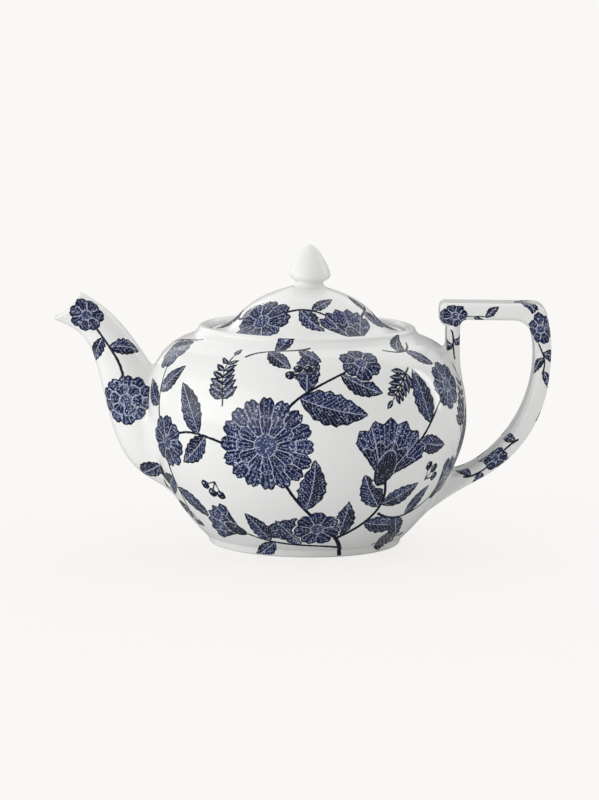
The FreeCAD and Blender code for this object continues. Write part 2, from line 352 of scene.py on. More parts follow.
def fillet(dense: Array, outward: Array, body: Revolved, radius: Array, count: int) -> tuple[Array, Array]:
    """Runs each line of a dense surface into a body through a soft tangent curve.

    Args:
        dense: Surface lines of shape (t, columns, 3) that enter the body at growing t.
        outward: The surface's own outward direction at the same points.
        body: The shape the lines run into.
        radius: Distance from the body at which each column starts to bend.
        count: Rows of the bend.

    Returns:
        The row where each column's bend starts, and the bend's points.
    """
    sink = 0.04
    landing = 0.8
    pull = 0.42
    gap = body.nearest(dense)[0]
    starts = np.empty(dense.shape[1])
    bend = np.empty((count, dense.shape[1], 3))
    share = np.linspace(0.0, 1.0, count)[:, None]
    for j in range(dense.shape[1]):
        line = dense[:, j]
        inside = np.argmax(gap[:, j] < 0.0)
        begin = np.argmax(gap[:inside + 1, j] < radius[j])
        starts[j] = begin
        slope = unit(np.gradient(line, axis=0))
        normal = body.nearest(line[inside][None])[1][0]
        spread = slope[inside] + outward[inside, j]
        away = unit(spread - (spread @ normal) * normal)
        land, normals = body.onto((line[inside] + away * radius[j] * landing)[None])
        normal = normals[0]
        land = land[0] - normal * sink
        away = unit(away - (away @ normal) * normal)
        span = np.linalg.norm(land - line[begin]) * pull
        bend[:, j] = cubic(line[begin], line[begin] + slope[begin] * span, land - away * span, land, share)
    return starts, bend


def rows_between(dense: Array, first: Array, last: Array, count: int) -> Array:
    """Picks evenly spread rows of a dense surface, column by column.

    Args:
        dense: Surface lines of shape (t, columns, 3).
        first: Start row of each column, with fraction.
        last: End row of each column, with fraction.
        count: Rows wanted.

    Returns:
        Points of shape (count, columns, 3).
    """
    share = np.linspace(0.0, 1.0, count)[:, None]
    at = first[None] + (last - first)[None] * share
    low = np.clip(at.astype(int), 0, len(dense) - 2)
    rest = (at - low)[..., None]
    column = np.arange(dense.shape[1])[None]
    return dense[low, column] * (1 - rest) + dense[low + 1, column] * rest


@dataclass
class Rooted:
    """A tube that ends in a soft root on a body."""

    dense: Array
    outward: Array
    body: Revolved
    radius: Array
    rows: int
    bend_rows: int

    def cut(self, first: Optional[Array] = None,
            lead: Optional[Callable[[Array], Array]] = None) -> tuple[Grid, Grid]:
        """Cuts the tube where it starts to bend.

        Args:
            first: Start row of each column, or none for the tube's own start.
            lead: Rule from the tube's skin to the rows that go before it, or none.

        Returns:
            The tube and its root, which share a row.
        """
        first = np.zeros(self.dense.shape[1]) if first is None else first
        last, bend = fillet(self.dense, self.outward, self.body, self.radius, self.bend_rows)
        skin = rows_between(self.dense, first, last, self.rows)
        before = skin[:0] if lead is None else lead(skin)
        whole = Grid(np.concatenate([before, skin, bend[1:]]))
        halfway = int(0.5 * (first + last).mean())
        whole.face_out(len(before) + self.rows // 2, self.outward[halfway])
        return whole.split(len(before) + self.rows - 1)


# Print design, in millimetres on the surface


def crossed(a: Array, b: Array) -> Array:
    """Joins two signed line fields so that the zero lines of both stay."""
    return a * b / np.maximum(np.hypot(a, b), TINY)


def zigzag(x: Array) -> Array:
    """Triangle wave of period one, from -1 to 1."""
    return 4.0 * np.abs(x - np.floor(x + 0.5)) - 1.0


@dataclass(frozen=True)
class Leaf:
    """A pointed leaf from its stalk at (0, 0) up +Y, with one half darker."""

    length: float
    width: float
    bow: float = 0.0
    teeth: float = 0.0
    tooth_pitch: float = 0.16
    rib: float = 1.15
    hatch_pitch: float = 2.3
    tones: tuple[float, float] = (0.85, 0.45)

    def fields(self, x: Array, y: Array) -> Fields:
        """Print values of the leaf.

        Args:
            x: Distance across.
            y: Distance along.

        Returns:
            Signed distance, white line field, hatch phase and darkness.
        """
        k = np.clip(y / self.length, 0.0, 1.0)
        half = 0.5 * self.width * np.sin(np.pi * k ** 0.8) ** 0.9
        half = half * (1.0 + self.teeth * zigzag(y / (self.tooth_pitch * self.length)))
        off = x - self.bow * self.length * k * (1.6 - k)
        edge = np.maximum(np.abs(off) - half, np.maximum(-y, y - self.length))
        hatch = (y - 1.1 * np.abs(off)) / self.hatch_pitch
        return edge, off * self.rib, hatch, np.where(off > 0.0, *self.tones)


@dataclass(frozen=True)
class Rosette:
    """A round flower of many petals about a seeded heart."""

    radius: float
    petals: int
    heart: float = 0.27
    notch: float = 0.2
    dent: float = 0.05
    hatch_lines: float = 3.0
    heart_tone: float = 0.25

    def fields(self, x: Array, y: Array) -> Fields:
        """Print values of the flower.

        Args:
            x: Distance across.
            y: Distance up.

        Returns:
            Signed distance, white line field, hatch phase and darkness.
        """
        rho = np.hypot(x, y)
        phi = np.arctan2(x, y)
        wave = np.cos(0.5 * self.petals * phi)
        edge = self.radius * (1.0 - self.notch * (1.0 - np.abs(wave) ** 0.75))
        edge = edge - self.dent * self.radius * np.clip(np.abs(wave) - 0.93, 0.0, 1.0) / 0.07
        between = rho * wave * 2.0 / self.petals
        ring = rho - self.heart * self.radius
        line = np.where(ring < 0.0, ring, crossed(between, ring))
        hatch = phi * self.petals * self.hatch_lines / (2.0 * np.pi)
        tone = np.clip(1.05 - 0.75 * rho / self.radius, 0.0, 1.0)
        tone = np.where(ring < 0.0, self.heart_tone, tone)
        return (rho - edge) * 0.85, line, hatch, tone


@dataclass(frozen=True)
class Mum:
    """A full double flower: a ring of petals over a larger one."""

    radius: float
    petals: int
    inner: float = 0.64

    def fields(self, x: Array, y: Array) -> Fields:
        """Print values of the flower.

        Args:
            x: Distance across.
            y: Distance up.

        Returns:
            Signed distance, white line field, hatch phase and darkness.
        """
        outer = Rosette(self.radius, self.petals, heart=0.3, notch=0.16).fields(x, y)
        few = max(self.petals - 4, 6)
        inner = Rosette(self.radius * self.inner, few, heart=0.36, notch=0.2).fields(y, -x)
        under = inner[0] > 0.0
        line = np.where(under, crossed(outer[1], inner[0] + 0.01), crossed(inner[1], inner[0] - 0.01))
        hatch = np.where(under, outer[2], inner[2])
        tone = np.where(under, outer[3], np.clip(inner[3] - 0.1, 0.0, 1.0))
        return outer[0], line, hatch, tone


@dataclass(frozen=True)
class Fan:
    """A fan-shaped flower with a saw-toothed edge, opening up +Y from its cup at (0, 0)."""

    radius: float
    spread: float
    teeth: float = 3.4
    rays: float = 6.0
    tier: float = 0.6
    tier_teeth: float = 2.4
    hatch_lines: float = 9.0
    tones: tuple[float, float] = (0.8, 0.35)
    cup_tone: float = 0.95

    def fields(self, x: Array, y: Array) -> Fields:
        """Print values of the flower.

        Args:
            x: Distance across.
            y: Distance up.

        Returns:
            Signed distance, white line field, hatch phase and darkness.
        """
        rho = np.hypot(x, y)
        phi = np.arctan2(x, y)
        edge = self.radius * (0.95 + 0.05 * zigzag(phi * self.teeth)) * (0.86 + 0.14 * np.cos(phi * 1.5))
        side = rho * np.sin(np.clip(np.abs(phi) - self.spread, -1.5, 1.5))
        cup = (np.hypot(x / 0.17, (y - 0.2 * self.radius) / 0.3) - self.radius) * 0.17
        rays = rho * np.sin(phi * self.rays) / self.rays
        tier = rho - self.radius * (self.tier + 0.06 * zigzag(phi * self.tier_teeth + 0.5))
        line = np.where(cup < 0.0, cup, crossed(crossed(rays, tier), cup + 0.01))
        tone = np.where(rho < self.radius * self.tier, *self.tones)
        tone = np.where(cup < 0.0, self.cup_tone, tone)
        return np.minimum(np.maximum(rho - edge, side), cup), line, phi * self.hatch_lines, tone


@dataclass(frozen=True)
class Berry:
    """A small dark berry with a spot of shine."""

    radius: float
    shine_off: float = 0.35
    shine: float = 0.2
    tone: float = 0.95

    def fields(self, x: Array, y: Array) -> Fields:
        """Print values of the berry.

        Args:
            x: Distance across.
            y: Distance up.

        Returns:
            Signed distance, white line field, hatch phase and darkness.
        """
        off = self.shine_off * self.radius
        spot = np.hypot(x + off, y - off) - self.shine * self.radius
        return np.hypot(x, y) - self.radius, spot, np.zeros_like(x), np.full_like(x, self.tone)


Motif = Union[Leaf, Rosette, Mum, Fan, Berry]


@dataclass
class PrintField:
    """Print values at the points of one surface that is laid out flat."""

    u: Array
    v: Array
    stretch: Array
    period: float = 0.0
    ink: Array = field(init=False)
    line: Array = field(init=False)
    hatch: Array = field(init=False)
    tone: Array = field(init=False)
    stem: Array = field(init=False)

    def __post_init__(self) -> None:
        """Starts with an empty white surface."""
        self.ink = np.full_like(self.u, BLANK)
        self.line = np.full_like(self.u, BLANK)
        self.hatch = np.zeros_like(self.u)
        self.tone = np.full_like(self.u, 0.5)
        self.stem = np.full_like(self.u, BLANK)

    def values(self) -> dict[str, Array]:
        """Values by the name of their mesh attribute."""
        return {"p_" + name: getattr(self, name) for name in ("ink", "line", "hatch", "tone", "stem")}

    def put(self, design: Sequence["Sprig"]) -> "PrintField":
        """Prints a whole design.

        Args:
            design: The sprigs, later ones over earlier ones.

        Returns:
            This field.
        """
        for sprig in design:
            sprig.put(self)
        return self

    def blank(self, where: Union[Array, slice]) -> None:
        """Takes the print off some points."""
        self.ink[where] = BLANK
        self.stem[where] = BLANK

    def local(self, at: Point) -> tuple[Array, Array]:
        """Distances from a place on the surface.

        Args:
            at: The place, across and up.

        Returns:
            Distance across, wrapped round the surface, and up.
        """
        across = self.u - at[0]
        if self.period:
            across = across - self.period * np.round(across / self.period)
        return across * self.stretch, self.v - at[1]

    def stamp(self, motif: Motif, at: Point, turn: float = 0.0, halo: float = 0.0) -> None:
        """Prints one motif.

        Args:
            motif: The shape.
            at: Where its origin goes.
            turn: Angle in degrees, clockwise from upright.
            halo: Width of the white gap kept around it.
        """
        x, y = self.local(at)
        near = np.flatnonzero(np.abs(x) + np.abs(y) < STAMP_REACH)
        c, s = math.cos(math.radians(turn)), math.sin(math.radians(turn))
        edge, line, hatch, tone = motif.fields(x[near] * c - y[near] * s, x[near] * s + y[near] * c)
        take = (edge < halo) | (edge < self.ink[near])
        index = near[take]
        self.ink[index] = edge[take]
        self.line[index] = line[take]
        self.hatch[index] = hatch[take]
        self.tone[index] = tone[take]

    def draw(self, path: Array, wide: float, fine: float) -> None:
        """Draws a stem.

        Args:
            path: Points across and up.
            wide: Line width at its start.
            fine: Line width at its end.
        """
        for k, (a, b) in enumerate(zip(path, path[1:])):
            x, y = self.local((a[0], a[1]))
            near = np.flatnonzero(np.abs(x) + np.abs(y) < DRAW_REACH)
            ex = (b[0] - a[0]) * self.stretch[near]
            ey = b[1] - a[1]
            t = np.clip((x[near] * ex + y[near] * ey) / (ex * ex + ey * ey + TINY), 0.0, 1.0)
            gap = np.hypot(x[near] - t * ex, y[near] - t * ey)
            half = 0.5 * (wide + (fine - wide) * k / len(path))
            self.stem[near] = np.minimum(self.stem[near], gap - half)


def along(poles: Sequence[Point], place: float) -> tuple[Point, float]:
    """Finds a place on a stem.

    Args:
        poles: The stem's poles.
        place: Share of the stem, from its start.

    Returns:
        The place, and the stem's heading there in degrees from upright.
    """
    shares = np.array([place, min(place + HEADING_STEP, 1.0), place - HEADING_STEP])
    here, after, before = bezier_at(poles, shares)
    run = after - before
    return (here[0], here[1]), math.degrees(math.atan2(run[0], run[1]))


@dataclass(frozen=True)
class Stem:
    """A bent stem with leaves to its left and right, each given by place, side and length."""

    poles: tuple[Point, ...]
    leaves: tuple[tuple[float, int, float], ...] = ()
    wide: float = 1.6
    fine: float = 1.0
    splay: float = 46.0
    slim: float = 0.46
    bow: float = 0.16
    teeth: float = 0.08
    steps: int = 26

    def put(self, target: PrintField) -> None:
        """Draws the stem and its leaves.

        Args:
            target: The surface to print on.
        """
        target.draw(bezier(self.poles, self.steps), self.wide, self.fine)
        for place, side, size in self.leaves:
            at, heading = along(self.poles, place)
            leaf = Leaf(size, size * self.slim, self.bow * side, self.teeth)
            target.stamp(leaf, at, heading + side * self.splay)


@dataclass(frozen=True)
class Frond:
    """A fern frond: a fine stem with paired leaflets that shrink toward its tip."""

    poles: tuple[Point, ...]
    pairs: int
    size: float
    wide: float = 1.0
    fine: float = 0.7
    start: float = 0.16
    span: float = 0.8
    splay: float = 52.0
    slim: float = 0.42
    bow: float = 0.1
    steps: int = 18

    def put(self, target: PrintField) -> None:
        """Draws the frond.

        Args:
            target: The surface to print on.
        """
        target.draw(bezier(self.poles, self.steps), self.wide, self.fine)
        heading = 0.0
        for k in range(self.pairs):
            place = self.start + self.span * k / self.pairs
            at, heading = along(self.poles, place)
            size = self.size * (1.0 - 0.5 * place)
            for side in (-1, 1):
                leaflet = Leaf(size, size * self.slim, self.bow * side)
                target.stamp(leaflet, at, heading + side * self.splay)
        target.stamp(Leaf(self.size * 0.6, self.size * 0.3), self.poles[-1], heading)


@dataclass(frozen=True)
class Bloom:
    """One flower with a white gap around it."""

    motif: Motif
    at: Point
    turn: float = 0.0
    halo: float = 0.7

    def put(self, target: PrintField) -> None:
        """Prints the flower on a surface."""
        target.stamp(self.motif, self.at, self.turn, self.halo)


@dataclass(frozen=True)
class Berries:
    """Three berries on short stalks."""

    at: Point
    turn: float
    radius: float
    stalk: float = 8.0
    splay: float = 42.0
    wide: float = 0.9
    fine: float = 0.8
    halo: float = 0.4

    def put(self, target: PrintField) -> None:
        """Prints the berries.

        Args:
            target: The surface to print on.
        """
        for step in (-self.splay, 0.0, self.splay):
            a = math.radians(self.turn + step)
            end = (self.at[0] + self.stalk * math.sin(a), self.at[1] + self.stalk * math.cos(a))
            target.draw(np.array([self.at, end]), self.wide, self.fine)
            target.stamp(Berry(self.radius), end, 0.0, self.halo)


Sprig = Union[Stem, Frond, Bloom, Berries]


def round_print(points: Array, run: Array, radius: float, design: Sequence[Sprig]) -> PrintField:
    """Lays a design round a turned piece, twice in a full turn.

    Args:
        points: Points of shape (n, 3).
        run: Place of each point along the piece's outline.
        radius: Radius at which the design has its own width.
        design: The sprigs.

    Returns:
        The printed field.
    """
    angle = np.arctan2(points[:, 0], -points[:, 1])
    stretch = np.hypot(points[:, 0], points[:, 1]) / radius
    return PrintField(angle * radius, run, stretch, math.pi * radius).put(design)


# Across from the middle of the front, and up from the base along the pot's side
BODY_PRINT: tuple[Sprig, ...] = (
    Stem(((30, -4), (26, 16), (-4, 22), (-14, 54)),
         ((0.28, 1, 25), (0.5, -1, 33), (0.68, 1, 30)), 2.2, 1.5),
    Stem(((22, 10), (40, 18), (54, 30), (42, 50)),
         ((0.36, 1, 26), (0.62, -1, 25), (0.66, 1, 24)), 1.9, 1.5),
    Stem(((-16, 70), (-12, 92), (8, 96), (30, 108)), ((0.42, 1, 36), (0.5, -1, 27), (0.82, 1, 24))),
    Stem(((-24, 64), (-46, 62), (-60, 78), (-84, 62)), ((0.5, -1, 24), (0.58, 1, 29))),
    Stem(((-84, 62), (-98, 78), (-90, 90), (-100, 108)), ((0.4, -1, 23), (0.55, 1, 22))),
    Stem(((28, 2), (6, 6), (-24, 2), (-48, 14)), ((0.42, 1, 22), (0.66, -1, 18), (0.7, 1, 22))),
    Stem(((46, 60), (66, 60), (70, 82), (90, 92)), ((0.34, 1, 22), (0.56, -1, 29))),
    Stem(((47, 26), (62, 18), (80, 22), (94, 34)), ((0.35, 1, 20), (0.5, -1, 20))),
    Stem(((96, 36), (110, 40), (118, 50), (124, 62)), ((0.4, 1, 24), (0.5, -1, 26))),
    Stem(((-86, 58), (-92, 44), (-86, 32), (-96, 16)), ((0.4, 1, 25), (0.55, -1, 25), (0.85, 1, 19))),
    Frond(((-44, 84), (-44, 92), (-50, 100), (-46, 112)), 6, 11.0),
    Frond(((62, 104), (54, 98), (50, 92), (46, 88)), 5, 10.0),
    Frond(((-118, 30), (-114, 40), (-118, 48), (-114, 58)), 5, 10.0),
    Frond(((104, 66), (102, 74), (108, 82), (112, 96)), 6, 11.0),
    Frond(((58, 2), (66, 5), (74, 3), (84, 6)), 5, 9.5),
    Stem(((-38, 112), (-30, 120), (-14, 118), (2, 122)),
         ((0.4, 1, 19), (0.5, -1, 17), (0.85, 1, 16)), 1.4, 1.1),
    Stem(((54, 118), (66, 112), (76, 116), (84, 122)), ((0.3, -1, 17), (0.5, 1, 18)), 1.4, 1.1),
    Stem(((-128, 112), (-118, 118), (-104, 118), (-92, 122)), ((0.3, 1, 18), (0.6, 1, 17)), 1.4, 1.1),
    Berries((-52, 44), -150, 2.6),
    Berries((-2, 98), -20, 2.4),
    Berries((-92, 20), -160, 2.4),
    Berries((74, 44), 40, 2.6),
    Bloom(Mum(24.5, 16), (-20, 66)),
    Bloom(Fan(33.0, 0.92), (41, 47), 14),
    Bloom(Rosette(14.0, 8), (-84, 62), 10),
    Bloom(Rosette(13.0, 8), (90, 92)),
    Bloom(Fan(24.0, 0.88), (94, 32), 38),
    Bloom(Fan(22.0, 0.88), (-45, 12), -64),
    Bloom(Rosette(11.0, 6), (32, 109)),
    Bloom(Rosette(12.0, 7), (8, 17)),
    Bloom(Rosette(11.0, 6), (-101, 108), 15),
    Bloom(Mum(15.0, 12), (124, 64)),
)

# Across from the middle of the front, and down from the crown
LID_PRINT: tuple[Sprig, ...] = (
    Stem(((-50, 34), (-42, 44), (-34, 30), (-25, 36)), ((0.35, 1, 15), (0.55, -1, 16))),
    Stem(((-22, 37), (-8, 23), (6, 25), (18, 38)), ((0.42, -1, 20), (0.6, 1, 15))),
    Stem(((24, 42), (33, 29), (42, 33), (52, 26)), ((0.45, -1, 20), (0.6, 1, 14))),
    Bloom(Rosette(15.5, 8), (-24, 37), 10),
    Bloom(Fan(24.0, 0.9), (20, 51), 176),
    Bloom(Rosette(9.0, 6), (-53, 41)),
)

# Along from the lip, and up from the middle of each side
SPOUT_PRINT: tuple[Sprig, ...] = (
    Stem(((22, 2), (38, -5), (48, 5), (62, -1)), ((0.3, 1, 17), (0.45, -1, 17)), 1.2, 1.3),
    Bloom(Rosette(9.0, 7), (21.5, 1.5)),
    Bloom(Mum(12.5, 10), (69, -2)),
    Stem(((98, -2), (104, -8), (108, -14), (112, -20)), ((0.3, 1, 18), (0.5, -1, 17)), 1.2, 1.0),
)

# Along from the block's end, and around from the middle of each side, outer face negative
HANDLE_PRINT: tuple[Sprig, ...] = (
    Bloom(Rosette(7.0, 6), (4.5, 0.5), 20),
    Stem(((3, 9), (5, 13), (3, 18), (5, 23)), ((0.35, 1, 10), (0.5, -1, 10)), 0.9, 0.7),
    Stem(((8, 1), (13, 4), (17, 1), (22, 3)), ((0.5, -1, 9), (0.9, 1, 9)), 0.9, 0.7),
    Stem(((30, -12), (36, -9), (42, -12), (50, -6)), ((0.3, 1, 12), (0.5, -1, 12)), 0.9, 0.7),
    Bloom(Rosette(8.0, 7), (53, 0)),
    Stem(((54, 4), (60, 4), (68, -3), (76, 0)), ((0.55, 1, 13), (0.65, -1, 12), (0.95, 1, 11)), 0.9, 0.7),
    Stem(((62, -16), (84, -13), (104, -18), (126, -15)),
         ((0.2, 1, 14), (0.45, -1, 14), (0.7, 1, 14)), 1.0, 0.8),
    Stem(((112, -1), (122, 4), (134, -3), (146, 1)),
         ((0.04, -1, 12), (0.3, 1, 15), (0.45, -1, 14), (0.75, 1, 14), (0.9, -1, 12)), 1.0, 0.8),
    Bloom(Rosette(7.0, 6), (127, 1)),
)


# Finishes


class Sock:
    """A shader value that takes part in ordinary arithmetic."""

    def __init__(self, tree: bpy.types.NodeTree, socket: bpy.types.NodeSocket) -> None:
        """Wraps an output socket of a node tree."""
        self.tree = tree
        self.socket = socket

    def math(self, operation: str, *others: Union["Sock", float], first: Optional[float] = None) -> "Sock":
        """Adds a math node.

        Args:
            operation: Blender's name of the operation.
            others: Further operands.
            first: A number to use as first operand, with this value as the second.

        Returns:
            The result.
        """
        node = self.tree.nodes.new("ShaderNodeMath")
        node.operation = operation
        operands: list[Union[Sock, float]] = [self, *others] if first is None else [first, self]
        for slot, value in zip(node.inputs, operands):
            if isinstance(value, Sock):
                self.tree.links.new(value.socket, slot)
            else:
                slot.default_value = float(value)
        return Sock(self.tree, node.outputs[0])

    def __add__(self, other: Union["Sock", float]) -> "Sock":
        """Sum."""
        return self.math("ADD", other)

    def __radd__(self, other: float) -> "Sock":
        """Sum with a number on the left."""
        return self.math("ADD", first=other)

    def __sub__(self, other: Union["Sock", float]) -> "Sock":
        """Difference."""
        return self.math("SUBTRACT", other)

    def __rsub__(self, other: float) -> "Sock":
        """Difference with a number on the left."""
        return self.math("SUBTRACT", first=other)

    def __mul__(self, other: Union["Sock", float]) -> "Sock":
        """Product."""
        return self.math("MULTIPLY", other)

    def __rmul__(self, other: float) -> "Sock":
        """Product with a number on the left."""
        return self.math("MULTIPLY", first=other)

    def __truediv__(self, other: Union["Sock", float]) -> "Sock":
        """Quotient."""
        return self.math("DIVIDE", other)

    def __rtruediv__(self, other: float) -> "Sock":
        """Quotient with a number on the left."""
        return self.math("DIVIDE", first=other)

    def __abs__(self) -> "Sock":
        """Size without sign."""
        return self.math("ABSOLUTE")

    def clamp(self) -> "Sock":
        """Value limited to 0..1."""
        return self.math("MAXIMUM", 0.0).math("MINIMUM", 1.0)

    def below(self, edge: Union["Sock", float], soft: float) -> "Sock":
        """Mask that goes from 1 under an edge value to 0 over it, across a width of soft."""
        return ((edge - self) / soft + 0.5).clamp()


class Shader:
    """The nodes of a material or a world, made through one method."""

    def __init__(self, owner: Union[bpy.types.Material, bpy.types.World]) -> None:
        """Starts with no nodes.

        Args:
            owner: What the nodes belong to.
        """
        owner.use_nodes = True
        self.tree = owner.node_tree
        self.tree.nodes.clear()

    def node(self, kind: str, settings: Optional[dict] = None,
             inputs: Optional[dict] = None) -> bpy.types.Node:
        """Adds a node.

        Args:
            kind: Blender's node type.
            settings: Properties, which are set first.
            inputs: Values or links by the name or number of their socket.

        Returns:
            The new node.
        """
        node = self.tree.nodes.new(kind)
        for key, value in (settings or {}).items():
            setattr(node, key, value)
        for key, value in (inputs or {}).items():
            given = value.socket if isinstance(value, Sock) else value
            if isinstance(given, bpy.types.NodeSocket):
                self.tree.links.new(given, node.inputs[key])
            else:
                node.inputs[key].default_value = given
        return node

    def value(self, kind: str, output: str, settings: Optional[dict] = None,
              inputs: Optional[dict] = None) -> Sock:
        """Adds a node and wraps one of its outputs."""
        return Sock(self.tree, self.node(kind, settings, inputs).outputs[output])

    def where(self) -> bpy.types.NodeSocket:
        """Object coordinates in metres."""
        return self.node("ShaderNodeTexCoord").outputs["Object"]

    def attribute(self, name: str) -> Sock:
        """Reads a number stored on the mesh."""
        return self.value("ShaderNodeAttribute", "Fac", {"attribute_name": name})

    def noise(self, where: bpy.types.NodeSocket, scale: float, detail: float, rough: float = 0.5) -> Sock:
        """Cloudy noise from 0 to 1."""
        inputs = {"Vector": where, "Scale": scale, "Detail": detail, "Roughness": rough}
        return self.value("ShaderNodeTexNoise", "Fac", None, inputs)

    def blend(self, share: Sock, a: object, b: object) -> bpy.types.NodeSocket:
        """Mixes two colours or links, with share 0 for a and 1 for b."""
        inputs = {MIX_SHARE: share, MIX_A: a, MIX_B: b}
        return self.node("ShaderNodeMix", {"data_type": "RGBA"}, inputs).outputs[MIX_RESULT]

    def layer(self, share: object, a: bpy.types.Node, b: bpy.types.Node) -> bpy.types.Node:
        """Mixes the surfaces of two nodes, with share 0 for a and 1 for b."""
        return self.node("ShaderNodeMixShader", None, {0: share, 1: a.outputs[0], 2: b.outputs[0]})


@dataclass(frozen=True)
class Finish:
    """A material whose surface each kind of finish makes in its own way."""

    name: str

    def surface(self, shader: Shader) -> bpy.types.Node:
        """Makes the surface node."""
        raise NotImplementedError

    def build(self) -> bpy.types.Material:
        """Makes the material.

        Returns:
            The material.
        """
        material = bpy.data.materials.new(self.name)
        shader = Shader(material)
        surface = self.surface(shader)
        shader.node("ShaderNodeOutputMaterial", None, {"Surface": surface.outputs[0]})
        return material


class Ground(Enum):
    """What a glaze lies on."""

    PLAIN = "plain"
    PRINTED = "printed"


@dataclass(frozen=True)
class Glaze(Finish):
    """Gloss white glaze, plain or over a blue print."""

    ground: Ground
    white: Colour = (0.80, 0.805, 0.79, 1.0)
    light: Colour = (0.021, 0.040, 0.145, 1.0)
    middle: Colour = (0.0036, 0.0105, 0.060, 1.0)
    dark: Colour = (0.002, 0.003, 0.015, 1.0)
    veil: Colour = (0.66, 0.715, 0.85, 1.0)
    ripple_scale: float = 55.0
    wobble_scale: float = 620.0
    patch_scale: float = 150.0
    grain_scale: float = 1500.0
    fleck_scale: float = 1000.0
    dot_scale: float = 780.0
    edge_soft: float = 0.3
    outline_width: float = 0.75

    def surface(self, shader: Shader) -> bpy.types.Node:
        """Makes the surface under a clear coat.

        Args:
            shader: The material's nodes.

        Returns:
            The surface node.
        """
        where = shader.where()
        colour = self.printed(shader, where) if self.ground is Ground.PRINTED else self.white
        ripple = shader.noise(where, self.ripple_scale, 1.0)
        bump = shader.node("ShaderNodeBump", None, {"Height": ripple, "Strength": 0.06, "Distance": 0.002})
        return shader.node("ShaderNodeBsdfPrincipled", None, {
            "Base Color": colour, "Roughness": 0.4, "IOR": 1.5, "Specular IOR Level": 0.05,
            "Coat Weight": 0.6, "Coat Roughness": 0.10, "Coat IOR": 1.5, "Normal": bump.outputs["Normal"]})

    def printed(self, shader: Shader, where: bpy.types.NodeSocket) -> bpy.types.NodeSocket:
        """Builds the print's colour.

        Args:
            shader: The material's nodes.
            where: Object coordinates in metres.

        Returns:
            The colour output.
        """
        wobble = shader.noise(where, self.wobble_scale, 2.0) - 0.5
        patch = shader.noise(where, self.patch_scale, 2.0)
        grain = shader.noise(where, self.grain_scale, 1.0)
        flecks = shader.noise(where, self.fleck_scale, 3.0, 0.6)
        spots = {"Vector": where, "Scale": self.dot_scale}
        dots = shader.value("ShaderNodeTexVoronoi", "Distance", None, spots)
        ink = shader.attribute("p_ink") + wobble * 1.1
        line = shader.attribute("p_line") + wobble * 0.5
        hatch = shader.attribute("p_hatch") + wobble * 0.35
        tone = shader.attribute("p_tone")
        stem = shader.attribute("p_stem") + wobble * 0.5
        # Dark outline, and shades of blue inside it
        shape = ink.below(0.0, self.edge_soft)
        outline = shape * (1.0 - ink.below(-self.outline_width, 0.4))
        depth = (0.1 + tone * 0.8 + (patch - 0.5) * 0.9 + outline * 0.5 + (grain - 0.5) * 0.7).clamp()
        blue = shader.blend((depth * 2.0).clamp(), self.light, self.middle)
        blue = shader.blend((depth * 2.0 - 1.0).clamp(), blue, self.dark)
        # Pale dots, flecks, veins and hatching where the ink is thin
        inner = shape - outline
        speck = dots.below(0.28 - tone * 0.10, 0.08) * inner
        fleck = (1.0 - flecks.below(0.633 + tone * 0.03 + (patch - 0.5) * 0.3, 0.07)) * inner
        rib = abs(line).below(0.24, 0.22) * inner * (grain * 2.4 - 0.45).clamp()
        stroke = abs(hatch.math("FRACT") - 0.5).below(0.11, 0.08) * inner * (1.0 - tone * 0.5)
        bare = (speck * 0.62).math("MAXIMUM", rib * 0.75).math("MAXIMUM", fleck * 0.8)
        bare = bare.math("MAXIMUM", stroke * (grain * 1.1 - 0.3).clamp())
        blue = shader.blend(bare, blue, self.veil)
        under = shader.blend(stem.below(0.0, self.edge_soft), self.white, self.dark)
        return shader.blend(shape, under, blue)


@dataclass(frozen=True)
class Clay(Finish):
    """Bare fired clay of the standing edge."""

    pale: Colour = (0.70, 0.68, 0.64, 1.0)
    deep: Colour = (0.602, 0.5848, 0.5504, 1.0)
    grit_scale: float = 900.0

    def surface(self, shader: Shader) -> bpy.types.Node:
        """Makes the gritty surface node."""
        colour = shader.blend(shader.noise(shader.where(), self.grit_scale, 3.0), self.pale, self.deep)
        return shader.node("ShaderNodeBsdfPrincipled", None, {"Base Color": colour, "Roughness": 0.75})


@dataclass(frozen=True)
class Backdrop(Finish):
    """Floor finish that the camera sees as a pale ground with a faint shadow near the pot."""

    seen: Colour = (0.955, 0.940, 0.922, 1.0)
    bounce: Colour = (0.86, 0.86, 0.86, 1.0)
    mirrored: Colour = (0.22, 0.22, 0.22, 1.0)
    shade: float = 0.16
    reach: float = 0.3

    def surface(self, shader: Shader) -> bpy.types.Node:
        """Makes what the camera, reflections and other light each see.

        Args:
            shader: The material's nodes.

        Returns:
            The surface node.
        """
        path = shader.node("ShaderNodeLightPath")
        matte = shader.node("ShaderNodeBsdfDiffuse", None, {"Color": self.bounce})
        dim = shader.node("ShaderNodeEmission", None, {"Color": self.mirrored})
        flat = shader.node("ShaderNodeEmission", None, {"Color": self.seen})
        where = {"Vector": shader.where()}
        span = shader.value("ShaderNodeVectorMath", "Value", {"operation": "LENGTH"}, where)
        ground = shader.layer(span.below(self.reach, self.reach) * self.shade, flat, matte)
        unseen = shader.layer(path.outputs["Is Glossy Ray"], matte, dim)
        return shader.layer(path.outputs["Is Camera Ray"], unseen, ground)


@dataclass
class Finishes:
    """The materials shared by the pieces."""

    printed: bpy.types.Material
    plain: bpy.types.Material
    clay: bpy.types.Material


# Meshes


